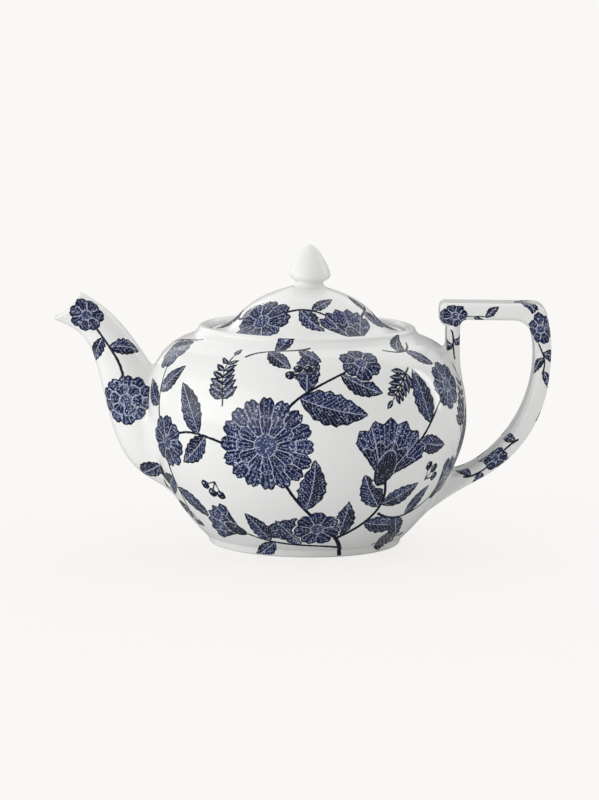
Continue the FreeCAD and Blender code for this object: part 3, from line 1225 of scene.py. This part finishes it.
@dataclass
class Piece:
    """The dressed shape of one CAD node, in millimetres about the pot's axis."""

    node: str
    points: Array
    faces: Union[Array, list]
    fields: Optional[PrintField] = None
    normals: Optional[Array] = None

    @classmethod
    def of(cls, node: str, grid: Grid, fields: Optional[PrintField] = None) -> "Piece":
        """Takes a grid with its own normals."""
        return cls(node, grid.flat, grid.faces(), fields, grid.normals)

    def mesh(self) -> bpy.types.Mesh:
        """Makes the smooth mesh with its print values.

        Returns:
            The new mesh.
        """
        mesh = bpy.data.meshes.new(self.node + "_glazed")
        placed = (self.points + np.array([AXIS_X, 0.0, 0.0])) * MM
        mesh.from_pydata(placed.tolist(), [], [list(face) for face in self.faces])
        mesh.polygons.foreach_set("use_smooth", np.ones(len(mesh.polygons), bool))
        if self.fields is not None:
            for key, values in self.fields.values().items():
                layer = mesh.attributes.new(key, "FLOAT", "POINT")
                layer.data.foreach_set("value", values.astype(np.float32))
        mesh.update()
        if self.normals is not None:
            mesh.normals_split_custom_set_from_vertices(self.normals.reshape(-1, 3).tolist())
        return mesh

    def build(self, body: str, slot: str, *materials: bpy.types.Material) -> bpy.types.Object:
        """Adds the piece to the scene, in place of its node.

        Args:
            body: The CAD body it rides on.
            slot: The record's material slot; not used.
            materials: Its finish, and any other that some of its faces take.

        Returns:
            The new object.
        """
        mesh = self.mesh()
        for material in materials:
            mesh.materials.append(material)
        obj = bpy.data.objects.new(mesh.name, mesh)
        bpy.context.scene.collection.objects.link(obj)
        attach(obj, body)
        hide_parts(self.node)
        LOG.info("%s: %d faces", obj.name, len(mesh.polygons))
        return obj


def with_inside(points: Array, faces: Array, node: bpy.types.Object, skin: Revolved) -> tuple[Array, list]:
    """Adds the CAD faces that lie off a dressed outside, such as the hollow's.

    Args:
        points: Points of the outside, about the pot's axis.
        faces: Its faces.
        node: The CAD node's object.
        skin: The outside as a turned surface.

    Returns:
        All points, those of the outside first, and all faces.
    """
    mesh = node.data
    cad = np.empty(len(mesh.vertices) * 3)
    mesh.vertices.foreach_get("co", cad)
    turn = np.array(node.matrix_world.to_3x3())
    cad = cad.reshape(-1, 3) @ turn.T + np.array(node.matrix_world.translation)
    cad = cad / MM - np.array([AXIS_X, 0.0, 0.0])
    corners = np.array([list(face.vertices) for face in mesh.polygons if len(face.vertices) == 3])
    off_skin = np.abs(skin.nearest(cad[corners].mean(axis=1))[0]) > SKIN_GAP
    used, inverse = np.unique(corners[off_skin], return_inverse=True)
    rest = inverse.reshape(-1, 3) + len(points)
    return np.vstack([points, cad[used]]), faces.tolist() + rest.tolist()


# Pieces


@dataclass
class Pot:
    """Body, foot and collar, with the print around the belly."""

    foot_h: float = 4.2
    base_r: float = 51.0
    belly_r: float = 82.2
    belly_z: float = 64.6
    seat_z: float = 106.5
    neck_r: float = 55.5
    foot_r: float = 49.0
    foot_top_r: float = 50.2
    foot_in_r: float = 43.0
    bare_edge: float = 0.5
    print_low: float = 0.6
    collar_in_r: float = 50.5
    rim_z: float = 111.7
    rim_white: float = 0.7
    flare: float = 2.1
    cove: float = 0.8
    strainer_r: float = 14.6
    strainer_at: Place = (-79.0, 0.0, 56.0)
    strainer_tilt: float = 68.0
    body_mesh: tuple[int, int] = (150, 620)
    ring_mesh: tuple[int, int] = (70, 480)

    def outline(self) -> Array:
        """Outside of the body from foot to seat.

        Returns:
            Radius and height.
        """
        belly = [(self.base_r + 11.2, self.foot_h + 10.0), (self.belly_r, self.belly_z - 22.0),
                 (self.belly_r, self.belly_z)]
        shoulder = [(self.belly_r, self.seat_z - 19.5), (self.neck_r + 20.0, self.seat_z - 5.8),
                    (self.neck_r + 5.5, self.seat_z - 1.0)]
        neck = [(self.neck_r + 4.2, self.seat_z - 0.58), (self.neck_r + 3.0, self.seat_z),
                (self.neck_r + self.flare, self.seat_z + self.cove)]
        return profile((self.base_r, self.foot_h), (160, belly), (120, shoulder), (20, neck))

    def foot_outline(self) -> Array:
        """Foot ring from its inside under the standing edge to its outside.

        Returns:
            Radius and height.
        """
        inside = [(self.foot_in_r + 0.7, 0.3), (self.foot_in_r + 1.0, 0.0), (self.foot_in_r + 1.6, 0.0)]
        outside = [(self.foot_r - 0.4, 0.0), (self.foot_r, 0.5), (self.foot_r + 0.2, 1.2)]
        return profile((self.foot_in_r, self.foot_h), (2, [(self.foot_in_r + 0.6, 1.0)]), (8, inside),
                       (2, [(self.foot_r - 1.2, 0.0)]), (8, outside), (2, [(self.foot_top_r, self.foot_h)]))

    def rim(self) -> Array:
        """Collar from its foot on the shoulder over the rim to the lid's seat.

        Returns:
            Radius and height.
        """
        middle_r = 0.5 * (self.collar_in_r + self.neck_r)
        foot = [(self.neck_r + 1.3, self.seat_z + 1.6), (self.neck_r + 0.5, self.seat_z + 2.3),
                (self.neck_r, self.seat_z + 3.1)]
        over = [(self.neck_r, self.rim_z - 0.7), (middle_r + 1.4, self.rim_z), (middle_r, self.rim_z)]
        back = [(middle_r - 1.4, self.rim_z), (self.collar_in_r, self.rim_z - 0.9),
                (self.collar_in_r, self.rim_z - 2.4)]
        return profile((self.neck_r + self.flare, self.seat_z + self.cove), (14, foot),
                       (2, [(self.neck_r, self.rim_z - 2.0)]), (12, over), (12, back),
                       (2, [(self.collar_in_r, self.seat_z)]))

    def build(self, frame: dict, finishes: Finishes) -> Revolved:
        """Builds and dresses the three pieces.

        Args:
            frame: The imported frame.
            finishes: The materials.

        Returns:
            The body's outside, for the pieces that meet it.
        """
        surface = Revolved(self.outline())
        self.build_body(surface, frame["nodes"]["pot_body"], finishes)
        self.build_foot(finishes)
        self.build_collar(surface.run[-1], finishes)
        return surface

    def build_body(self, surface: Revolved, node: bpy.types.Object, finishes: Finishes) -> None:
        """Builds the body with an opening for the strainer.

        Args:
            surface: The body's outside.
            node: The CAD body, which gives the inside.
            finishes: The materials.
        """
        grid = surface.grid(*self.body_mesh)
        faces = grid.faces()
        middle = grid.flat[faces].mean(axis=1)
        tilt = math.radians(self.strainer_tilt)
        axis = np.array([-math.sin(tilt), 0.0, math.cos(tilt)])
        offset = middle - np.array(self.strainer_at)
        aside = np.linalg.norm(offset - (offset @ axis)[:, None] * axis, axis=1)
        faces = faces[(aside > self.strainer_r) | (middle[:, 0] > 0.0)]
        points, faces = with_inside(grid.flat, faces, node, surface)
        fields = round_print(points, surface.nearest(points)[2], self.belly_r, BODY_PRINT)
        fields.blank(slice(len(grid.flat), None))
        Piece("pot_body", points, faces, fields).build("pot", "printed_glaze", finishes.printed)

    def build_foot(self, finishes: Finishes) -> None:
        """Builds the foot ring with its bare standing edge.

        Args:
            finishes: The materials.
        """
        ring = Revolved(self.foot_outline()).grid(*self.ring_mesh)
        points = ring.flat
        fields = round_print(points, points[:, 2] - self.foot_h, self.belly_r, BODY_PRINT)
        fields.blank((np.hypot(points[:, 0], points[:, 1]) < self.foot_r) | (points[:, 2] < self.print_low))
        piece = Piece("foot_ring", points, ring.faces(), fields)
        obj = piece.build("pot", "foot_clay", finishes.printed, finishes.clay)
        for face in obj.data.polygons:
            top = max(obj.data.vertices[i].co.z for i in face.vertices)
            face.material_index = int(top < self.bare_edge * MM)

    def build_collar(self, base: float, finishes: Finishes) -> None:
        """Builds the collar, white from the top of its rim inward.

        Args:
            base: Length along the pot's side where the collar starts.
            finishes: The materials.
        """
        rim = Revolved(self.rim())
        collar = rim.grid(*self.ring_mesh)
        points = collar.flat
        fields = round_print(points, rim.nearest(points)[2] + base, self.belly_r, BODY_PRINT)
        fields.blank(np.hypot(points[:, 0], points[:, 1]) < self.neck_r - self.rim_white)
        Piece("collar", points, collar.faces(), fields).build("pot", "printed_glaze", finishes.printed)


@dataclass
class Spout:
    """Hollow spout with a slanted rounded lip and a soft root."""

    wall: float = 2.6
    lean: float = 1.25
    lip_r: float = 22.5
    lip_x: float = -136.5
    lip_z: float = 135.8
    lip_round: float = 1.5
    lip_bulge: float = 1.45
    lip_rows: int = 9
    lip_white_rows: int = 3
    root_r: float = 11.0
    root_mean: float = 0.66
    root_swing: float = 0.32
    columns: int = 160
    stations: int = 700
    hollow_end: float = 640.0
    rows: int = 190
    hollow_rows: int = 80
    bend_rows: int = 14
    print_stations: int = 400
    top: tuple[Point, ...] = ((-124.6, 131.2), (-107.1, 124.2), (-89.6, 114.0), (-82.9, 92.8),
                              (-73.1, 78.4), (-60.0, 64.0))
    low: tuple[Point, ...] = ((-140.2, 117.6), (-102.8, 101.1), (-106.3, 118.0), (-105.4, 31.3),
                              (-91.7, 36.9), (-64.0, 25.5))
    half: tuple[Point, ...] = ((8.6, 0), (8.4, 0), (13.5, 0), (25.0, 0))

    def angles(self) -> Array:
        """Angle of each column, from the top edge."""
        return np.linspace(0.0, 2 * np.pi, self.columns, endpoint=False)

    def edges(self, t: Array) -> tuple[Array, Array]:
        """Top and bottom edge in the middle plane, X and Z."""
        return bezier_at(self.top, t), bezier_at(self.low, t ** self.lean)

    def lines(self, grow: float) -> tuple[Array, Array]:
        """Dense lines from the tip to the root.

        Args:
            grow: How far the skin is moved outward.

        Returns:
            Points and outward directions.
        """
        t = np.linspace(0.0, 1.0, self.stations)
        top, low = self.edges(t)
        half = bezier_at(self.half, t)[:, :1] + grow
        middle = 0.5 * (top + low)
        rise = 0.5 * (top - low)
        rise = rise * (1.0 + grow / np.linalg.norm(rise, axis=1, keepdims=True))
        c, s = np.cos(self.angles())[None], np.sin(self.angles())[None]
        x = middle[:, :1] + rise[:, :1] * c
        z = middle[:, 1:] + rise[:, 1:] * c
        points = np.stack([x, half * s, z], axis=2)
        return points, tube_outward(points, middle)

    def fields(self, points: Array) -> PrintField:
        """Print values on the spout.

        Args:
            points: Points of shape (n, 3).

        Returns:
            The printed field, laid out along the spout and around it from the middle of each side.
        """
        run, up = beside(points, *self.edges(np.linspace(0.0, 1.0, self.print_stations)))
        around = np.arctan2(up, np.abs(points[:, 1])) * np.hypot(up, points[:, 1])
        return PrintField(run, around, np.ones_like(run)).put(SPOUT_PRINT)

    def lip_start(self, lines: Array) -> Array:
        """Row of each column where the rounding of the lip starts."""
        past_lip = np.hypot(lines[..., 0] - self.lip_x, lines[..., 2] - self.lip_z) - self.lip_r
        return len(lines) - 1.0 - np.argmax(past_lip[::-1] < self.lip_round, axis=0)

    def inside_and_lip(self, skin: Array) -> Array:
        """Rows that go before the skin.

        Args:
            skin: Rows of the outside, from the lip on.

        Returns:
            Rows from the hollow's inner end up to the lip and round it.
        """
        hollow = self.lines(-self.wall)[0]
        end = np.full(self.columns, self.hollow_end)
        inside = rows_between(hollow, self.lip_start(hollow), end, self.hollow_rows)
        share = np.linspace(0.0, 1.0, self.lip_rows + 2)[1:-1, None, None]
        bulge = self.lip_round * self.lip_bulge
        push_in = unit(inside[0] - inside[1]) * bulge
        push_out = unit(skin[0] - skin[1]) * bulge
        lip = cubic(inside[0], inside[0] + push_in, skin[0] + push_out, skin[0], share)
        return np.concatenate([inside[::-1], lip])

    def build(self, body: Revolved, finishes: Finishes) -> None:
        """Builds and dresses the spout and its seam.

        Args:
            body: The pot's outside.
            finishes: The materials.
        """
        dense, outward = self.lines(0.0)
        radius = self.root_r * (self.root_mean - self.root_swing * np.cos(self.angles()))
        whole = Rooted(dense, outward, body, radius, self.rows, self.bend_rows)
        tube, root = whole.cut(self.lip_start(dense), self.inside_and_lip)
        fields = self.fields(tube.flat)
        fields.blank(slice(0, (self.hollow_rows + self.lip_white_rows) * self.columns))
        seam = Piece.of("spout_seam", root, self.fields(root.flat))
        for piece in (Piece.of("spout", tube, fields), seam):
            piece.build("pot", "printed_glaze", finishes.printed)


@dataclass
class Handle:
    """Flat strap handle with a thumb block, a short post and soft roots."""

    width: float = 24.0
    edge: float = 3.4
    edge_limit: float = 0.98
    bar_top: float = 124.8
    bar_low: float = 116.3
    block_x: float = 67.4
    block_low: float = 113.4
    post_l: float = 71.0
    post_r: float = 77.8
    post_half: float = 11.3
    post_end: float = 62.0
    post_start: float = 2.0
    reach: float = 124.4
    bend_x: float = 81.4
    bow_end_x: float = 87.5
    cap: float = 3.0
    cap_rows: int = 8
    root_r: float = 4.0
    post_root: float = 4.5
    post_root_out: float = 7.0
    rows: int = 420
    bend_rows: int = 12
    post_stations: int = 400
    post_rows: int = 70
    post_bend_rows: int = 16
    lift_rows: int = 24
    bar_rows: int = 70
    corner_rows: int = 90
    bow_rows: int = 180
    root_rows: int = 90
    tail_rows: int = 40
    arc_points: int = 11
    face_points: int = 16
    flank_points: int = 14

    def section(self, half_t: Array, half_w: Array) -> tuple[Array, Array]:
        """Rounded rectangles, one per station.

        Args:
            half_t: Half thickness at each station.
            half_w: Half width at each station.

        Returns:
            Offsets along the thickness and along Y, of shape (stations, columns).
        """
        curve = np.minimum(self.edge, np.minimum(half_t, half_w) * self.edge_limit)[:, None]
        arc = np.linspace(0.0, 0.5 * np.pi, self.arc_points)[None]
        face = np.linspace(-1.0, 1.0, self.face_points)[None, 1:-1]
        flank = np.linspace(-1.0, 1.0, self.flank_points)[None, 1:-1]
        ht, hw = half_t[:, None], half_w[:, None]
        flat_t, flat_w = ht - curve, hw - curve
        near, far = curve * np.cos(arc), curve * np.sin(arc)
        t = [flat_t + near, flat_t * -flank, -flat_t - far, -ht + 0 * face,
             -flat_t - near, flat_t * flank, flat_t + far, ht + 0 * face]
        w = [flat_w + far, hw + 0 * flank, flat_w + near, flat_w * -face,
             -flat_w - far, -hw + 0 * flank, -flat_w - near, flat_w * face]
        return np.concatenate(t, axis=1), np.concatenate(w, axis=1)

    def sections(self, outer: Array, inner: Array, half_w: Array) -> Array:
        """Lays sections between an outer and an inner line.

        Args:
            outer: Outer line, X and Z.
            inner: Inner line, X and Z.
            half_w: Half width at each station.

        Returns:
            Points of shape (stations, columns, 3).
        """
        middle = 0.5 * (outer + inner)
        across = 0.5 * (outer - inner)
        way = unit(across)
        t, w = self.section(np.linalg.norm(across, axis=1), half_w)
        return np.stack([middle[:, :1] + way[:, :1] * t, w, middle[:, 1:] + way[:, 1:] * t], axis=2)

    def strap_lines(self) -> tuple[Array, Array]:
        """Outer and inner line from the block to the lower root.

        Returns:
            Matching points of both lines.
        """
        start = self.block_x + self.cap
        lift = bezier([(self.post_r, self.block_low), (self.post_r + 0.5, self.bar_low - 1.0),
                       (self.post_r + 1.6, self.bar_low), (self.bend_x, self.bar_low)], self.lift_rows)
        lift_top = np.stack([lift[:, 0], np.full(self.lift_rows, self.bar_top)], axis=1)

        corner = [(115.2, self.bar_top), (118.6, self.bar_top), (120.8, 123.2), (121.6, 120.2)]
        turn = [corner[-1], (123.2, 114.5), (self.reach, 108.0), (self.reach, 101.0)]
        bow = [turn[-1], (self.reach, 77.0), (118.6, 52.5), (91.0, 35.6)]
        root = [bow[-1], (80.0, 29.2), (70.5, 24.8), (60.0, 14.0)]
        outer = join(straight((start, self.bar_top), (self.post_r, self.bar_top), self.lift_rows),
                     lift_top,
                     straight((self.bend_x, self.bar_top), corner[0], self.bar_rows),
                     resample(join(bezier(corner, 60), bezier(turn, 60)), self.corner_rows),
                     resample(bezier(bow, 200), self.bow_rows),
                     resample(bezier(root, 100), self.root_rows),
                     straight(root[-1], (46.0, 10.0), self.tail_rows))

        corner = [(105.0, self.bar_low), (112.5, self.bar_low), (116.0, 109.5), (116.0, 98.0)]
        sweep = bezier([corner[-1], (116.6, 66.0), (93.0, 40.0), (74.0, 37.0)], 400)
        split = int(np.argmin(np.abs(sweep[:, 0] - self.bow_end_x)))
        inner = join(straight((start, self.block_low), lift[0], self.lift_rows),
                     lift,
                     straight(lift[-1], corner[0], self.bar_rows),
                     resample(bezier(corner, 100), self.corner_rows),
                     resample(sweep[:split + 1], self.bow_rows),
                     resample(sweep[split:], self.root_rows),
                     straight(sweep[-1], (58.0, 35.0), self.tail_rows))
        return outer, inner

    def fields(self, points: Array) -> PrintField:
        """Print values on the handle's flanks and faces.

        Args:
            points: Points of shape (n, 3).

        Returns:
            The printed field, laid out along the strap and around it from the middle of each side.
        """
        run, out = beside(points, *self.strap_lines())
        around = -out - np.sign(out) * (0.5 * self.width - np.abs(points[:, 1]))
        return PrintField(run, around, np.ones_like(run)).put(HANDLE_PRINT)

    def strap(self, body: Revolved) -> tuple[Grid, Grid]:
        """The block, bar and bow.

        Args:
            body: The pot's outside.

        Returns:
            The strap from the block's rounded end, and its lower root.
        """
        outer, inner = self.strap_lines()
        dense = self.sections(outer, inner, np.full(len(outer), 0.5 * self.width))
        outward = tube_outward(dense, 0.5 * (outer + inner))
        angle = np.linspace(0.5 * np.pi, 0.0, self.cap_rows + 1)[:-1]
        inset = self.cap * (1.0 - np.cos(angle))
        x = self.block_x + self.cap * (1.0 - np.sin(angle))
        above = np.stack([x, self.bar_top - inset], axis=1)
        under = np.stack([x, self.block_low + inset], axis=1)
        caps = self.sections(above, under, 0.5 * self.width - inset)
        radius = np.full(dense.shape[1], self.root_r)
        return Rooted(dense, outward, body, radius, self.rows, self.bend_rows).cut(None, lambda skin: caps)

    def post(self, body: Revolved) -> tuple[Grid, Grid]:
        """The short post under the block.

        Args:
            body: The pot's outside.

        Returns:
            The post, and its root on the shoulder.
        """
        z = np.linspace(self.block_low + self.post_start, self.post_end, self.post_stations)
        outer = np.stack([np.full_like(z, self.post_r), z], axis=1)
        inner = np.stack([np.full_like(z, self.post_l), z], axis=1)
        dense = self.sections(outer, inner, np.full_like(z, self.post_half))
        outward = tube_outward(dense, 0.5 * (outer + inner))
        outside = np.clip(outward[self.post_stations // 2, :, 0], 0.0, 1.0)
        radius = self.post_root + self.post_root_out * outside
        return Rooted(dense, outward, body, radius, self.post_rows, self.post_bend_rows).cut()

    def build(self, body: Revolved, finishes: Finishes) -> None:
        """Builds and dresses the handle and its two seams.

        Args:
            body: The pot's outside.
            finishes: The materials.
        """
        strap, low_seam = self.strap(body)
        post, top_seam = self.post(body)
        columns = strap.points.shape[1]
        corners = strap.points[0]
        facing = np.cross(corners[columns // 3] - corners[0], corners[2 * columns // 3] - corners[0])
        closes = facing @ (corners - strap.points[1]).mean(axis=0) > 0
        end = np.arange(columns) if closes else np.arange(columns)[::-1]
        points = np.vstack([strap.flat, post.flat])
        faces = strap.faces().tolist() + [end.tolist()] + (post.faces() + len(strap.flat)).tolist()
        normals = np.concatenate([strap.normals, post.normals])
        upper = Piece.of("handle_upper_seam", top_seam, self.fields(top_seam.flat))
        lower = Piece.of("handle_lower_seam", low_seam, self.fields(low_seam.flat))
        for piece in (Piece("handle", points, faces, self.fields(points), normals), upper, lower):
            piece.build("pot", "printed_glaze", finishes.printed)


@dataclass
class Lid:
    """Ogee lid with a steam vent and an acorn knob."""

    seat_z: float = 106.5
    edge_r: float = 49.6
    edge_z: float = 108.7
    crown_r: float = 9.2
    crown_z: float = 131.2
    crown_rise: float = 0.7
    vent_r: float = 1.75
    vent_y: float = 24.0
    vent_snap: tuple[float, float] = (1.3, 2.1)
    vent_open: float = 0.36
    print_r: float = 34.0
    print_start: float = 3.0
    dome_mesh: tuple[int, int] = (150, 520)
    knob_x: float = 1.2
    neck_r: float = 6.5
    neck_z: float = 133.4
    neck_end: float = 126.0
    knob_r: float = 10.4
    crease_z: float = 137.6
    tip_z: float = 153.0
    tip_r: float = 0.02
    knob_root: float = 2.9
    knob_columns: int = 120
    knob_stations: int = 420
    knob_rows: int = 110
    bend_rows: int = 16

    def outline(self) -> Array:
        """Outside of the lid from its edge to the crown's middle.

        Returns:
            Radius and height.
        """
        edge = [(self.edge_r, self.edge_z), (self.edge_r - 0.4, self.edge_z + 0.4),
                (self.edge_r - 1.0, self.edge_z + 0.4)]
        low = [(self.edge_r - 6.6, self.edge_z + 0.9), (self.edge_r - 11.4, self.edge_z + 4.3),
               (self.edge_r - 15.0, self.edge_z + 8.3)]
        top = [(self.edge_r - 21.4, self.crown_z - 7.0), (self.edge_r - 28.6, self.crown_z - 3.6),
               (self.crown_r, self.crown_z)]
        middle_z = self.crown_z + self.crown_rise
        crown = [(self.crown_r - 2.0, self.crown_z + 0.6), (self.crown_r - 5.0, middle_z), (0.05, middle_z)]
        return profile((self.edge_r, self.seat_z), (2, [(self.edge_r, self.edge_z - 0.6)]), (10, edge),
                       (90, low), (90, top), (30, crown))

    def knob_lines(self) -> tuple[Array, Array]:
        """Dense lines from the knob's tip down into the dome.

        Returns:
            Points and outward directions.
        """
        upper = [(self.knob_r - 6.6, self.tip_z), (self.knob_r - 0.6, self.crease_z + 4.0),
                 (self.knob_r, self.crease_z)]
        lower = [(self.knob_r, self.crease_z - 2.4), (self.neck_r, self.neck_z + 1.2),
                 (self.neck_r, self.neck_z)]
        neck = [(self.neck_r, self.neck_end)]
        line = profile((self.tip_r, self.tip_z), (120, upper), (80, lower), (2, neck))
        line = resample(line, self.knob_stations)
        turn = np.linspace(0.0, 2 * np.pi, self.knob_columns, endpoint=False)
        outward = np.stack([np.cos(turn), np.sin(turn), 0 * turn], axis=1)[None].repeat(len(line), axis=0)
        axis = np.stack([np.full(len(line), self.knob_x), 0 * line[:, 0], line[:, 1]], axis=1)
        return axis[:, None] + outward * line[:, :1, None], outward

    def build(self, frame: dict, finishes: Finishes) -> None:
        """Builds and dresses the lid's pieces.

        Args:
            frame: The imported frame.
            finishes: The materials.
        """
        surface = Revolved(self.outline())
        self.build_dome(surface, frame["nodes"]["lid_dome"], finishes)
        dense, outward = self.knob_lines()
        radius = np.full(self.knob_columns, self.knob_root)
        knob, seam = Rooted(dense, outward, surface, radius, self.knob_rows, self.bend_rows).cut()
        knob.normals[0] = (0.0, 0.0, 1.0)
        for grid, node in ((knob, "lid_knob"), (seam, "knob_seam")):
            Piece.of(node, grid).build("lid", "white_glaze", finishes.plain)

    def build_dome(self, surface: Revolved, node: bpy.types.Object, finishes: Finishes) -> None:
        """Builds the dome with its vent.

        Args:
            surface: The dome's outside.
            node: The CAD dome, which gives the inside.
            finishes: The materials.
        """
        grid = surface.grid(*self.dome_mesh)
        outside = grid.flat
        centre = np.array([0.0, self.vent_y])
        reach = np.linalg.norm(outside[:, :2] - centre, axis=1)
        snap = (reach > self.vent_snap[0]) & (reach < self.vent_snap[1])
        scale = (self.vent_r / reach[snap])[:, None]
        outside[snap, :2] = centre + (outside[snap, :2] - centre) * scale
        faces = grid.faces()
        hole = reach < self.vent_r + self.vent_open
        points, faces = with_inside(outside, faces[~hole[faces].all(axis=1)], node, surface)
        down = surface.run[-1] - surface.nearest(points)[2] - self.print_start
        fields = round_print(points, down, self.print_r, LID_PRINT)
        fields.blank(slice(len(outside), None))
        Piece("lid_dome", points, faces, fields).build("lid", "printed_glaze", finishes.printed)


@dataclass
class Hidden:
    """CAD pieces that keep their own shape: strainer, flange and lug."""

    nodes: tuple[str, ...] = ("spout_grid", "lid_flange", "lid_lug")

    def dress(self, frame: dict, finishes: Finishes) -> None:
        """Gives them the plain glaze.

        Args:
            frame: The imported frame.
            finishes: The materials.
        """
        for name in self.nodes:
            obj = frame["nodes"][name]
            obj.data.materials.clear()
            obj.data.materials.append(finishes.plain)
            LOG.info("%s: kept from the frame", name)


# Studio


@dataclass(frozen=True)
class Lamp:
    """A soft box."""

    name: str
    place: Place
    size: tuple[float, float]
    watts: float
    aim: Place = (0.0, 0.0, 0.07)

    def build(self) -> None:
        """Adds the light."""
        data = bpy.data.lights.new(self.name, "AREA")
        data.shape = "RECTANGLE"
        data.size, data.size_y = self.size
        data.energy = self.watts
        obj = bpy.data.objects.new(self.name, data)
        turn = (Vector(self.aim) - Vector(self.place)).to_track_quat("-Z", "Y")
        obj.matrix_world = Matrix.Translation(self.place) @ turn.to_matrix().to_4x4()
        bpy.context.scene.collection.objects.link(obj)


@dataclass
class Studio:
    """Pale ground, even surroundings, soft boxes and the camera, in metres."""

    lamps: tuple[Lamp, ...] = (
        Lamp("key", (-1.75, -0.7, 0.36), (2.6, 1.5), 19.0),
        Lamp("low", (-1.15, -0.9, 0.2), (2.4, 0.4), 3.8),
        Lamp("strip", (1.15, 0.35, 0.5), (0.14, 0.9), 2.2),
        Lamp("back", (0.3, 1.5, 1.5), (3.0, 1.6), 15.0),
        Lamp("rim", (-1.3, 1.5, 0.4), (1.6, 1.2), 6.0),
        Lamp("top", (0.0, 0.0, 1.9), (2.0, 2.0), 4.0),
    )
    surround: float = 0.65
    mirrored: float = 0.20
    floor_half: float = 4.0
    distance: float = 1.7
    elevation: float = 8.0
    roll: float = 0.7
    aim: Place = (0.0, 0.0, 0.0729)
    view_height: float = 0.410
    sensor: float = 36.0

    def build(self) -> None:
        """Builds floor, world, lights and camera."""
        scene = bpy.context.scene
        scene.view_settings.view_transform = "Standard"
        ground = Backdrop("ground")
        half = self.floor_half
        mesh = bpy.data.meshes.new("floor")
        corners = [(-half, -half, 0), (half, -half, 0), (half, half, 0), (-half, half, 0)]
        mesh.from_pydata(corners, [], [(0, 1, 2, 3)])
        mesh.materials.append(ground.build())
        floor = bpy.data.objects.new("floor", mesh)
        scene.collection.objects.link(floor)
        self.world(ground.seen)
        for lamp in self.lamps:
            lamp.build()
        self.camera()

    def world(self, seen: Colour) -> None:
        """Makes the surroundings.

        Args:
            seen: Colour that the camera sees.
        """
        world = bpy.data.worlds.new("surround")
        bpy.context.scene.world = world
        shader = Shader(world)
        path = shader.node("ShaderNodeLightPath")
        lit = shader.node("ShaderNodeBackground", None, {"Color": WHITE, "Strength": self.surround})
        dim = shader.node("ShaderNodeBackground", None, {"Color": WHITE, "Strength": self.mirrored})
        flat = shader.node("ShaderNodeBackground", None, {"Color": seen})
        unseen = shader.layer(path.outputs["Is Glossy Ray"], lit, dim)
        surface = shader.layer(path.outputs["Is Camera Ray"], unseen, flat)
        shader.node("ShaderNodeOutputWorld", None, {"Surface": surface.outputs[0]})

    def camera(self) -> None:
        """Places the camera for the photo's view."""
        data = bpy.data.cameras.new("camera")
        data.sensor_fit = "VERTICAL"
        data.sensor_height = self.sensor
        data.lens = self.sensor * self.distance / self.view_height
        obj = bpy.data.objects.new("camera", data)
        tilt = math.radians(self.elevation)
        place = Vector(self.aim) + Vector((0.0, -math.cos(tilt), math.sin(tilt))) * self.distance
        pitch = Matrix.Rotation(math.pi / 2 - tilt, 4, "X")
        roll = Matrix.Rotation(math.radians(self.roll), 4, "Z")
        obj.matrix_world = Matrix.Translation(place) @ pitch @ roll
        bpy.context.scene.collection.objects.link(obj)
        bpy.context.scene.camera = obj


def main() -> None:
    """Builds the scene in order."""
    logging.basicConfig(level=logging.INFO, format="%(name)s %(message)s")
    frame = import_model()
    finishes = Finishes(printed=Glaze("printed_glaze", Ground.PRINTED).build(),
                        plain=Glaze("white_glaze", Ground.PLAIN).build(),
                        clay=Clay("foot_clay").build())
    body = Pot().build(frame, finishes)
    Spout().build(body, finishes)
    Handle().build(body, finishes)
    Lid().build(frame, finishes)
    Hidden().dress(frame, finishes)
    Studio().build()


if __name__ == "__main__":
    main()
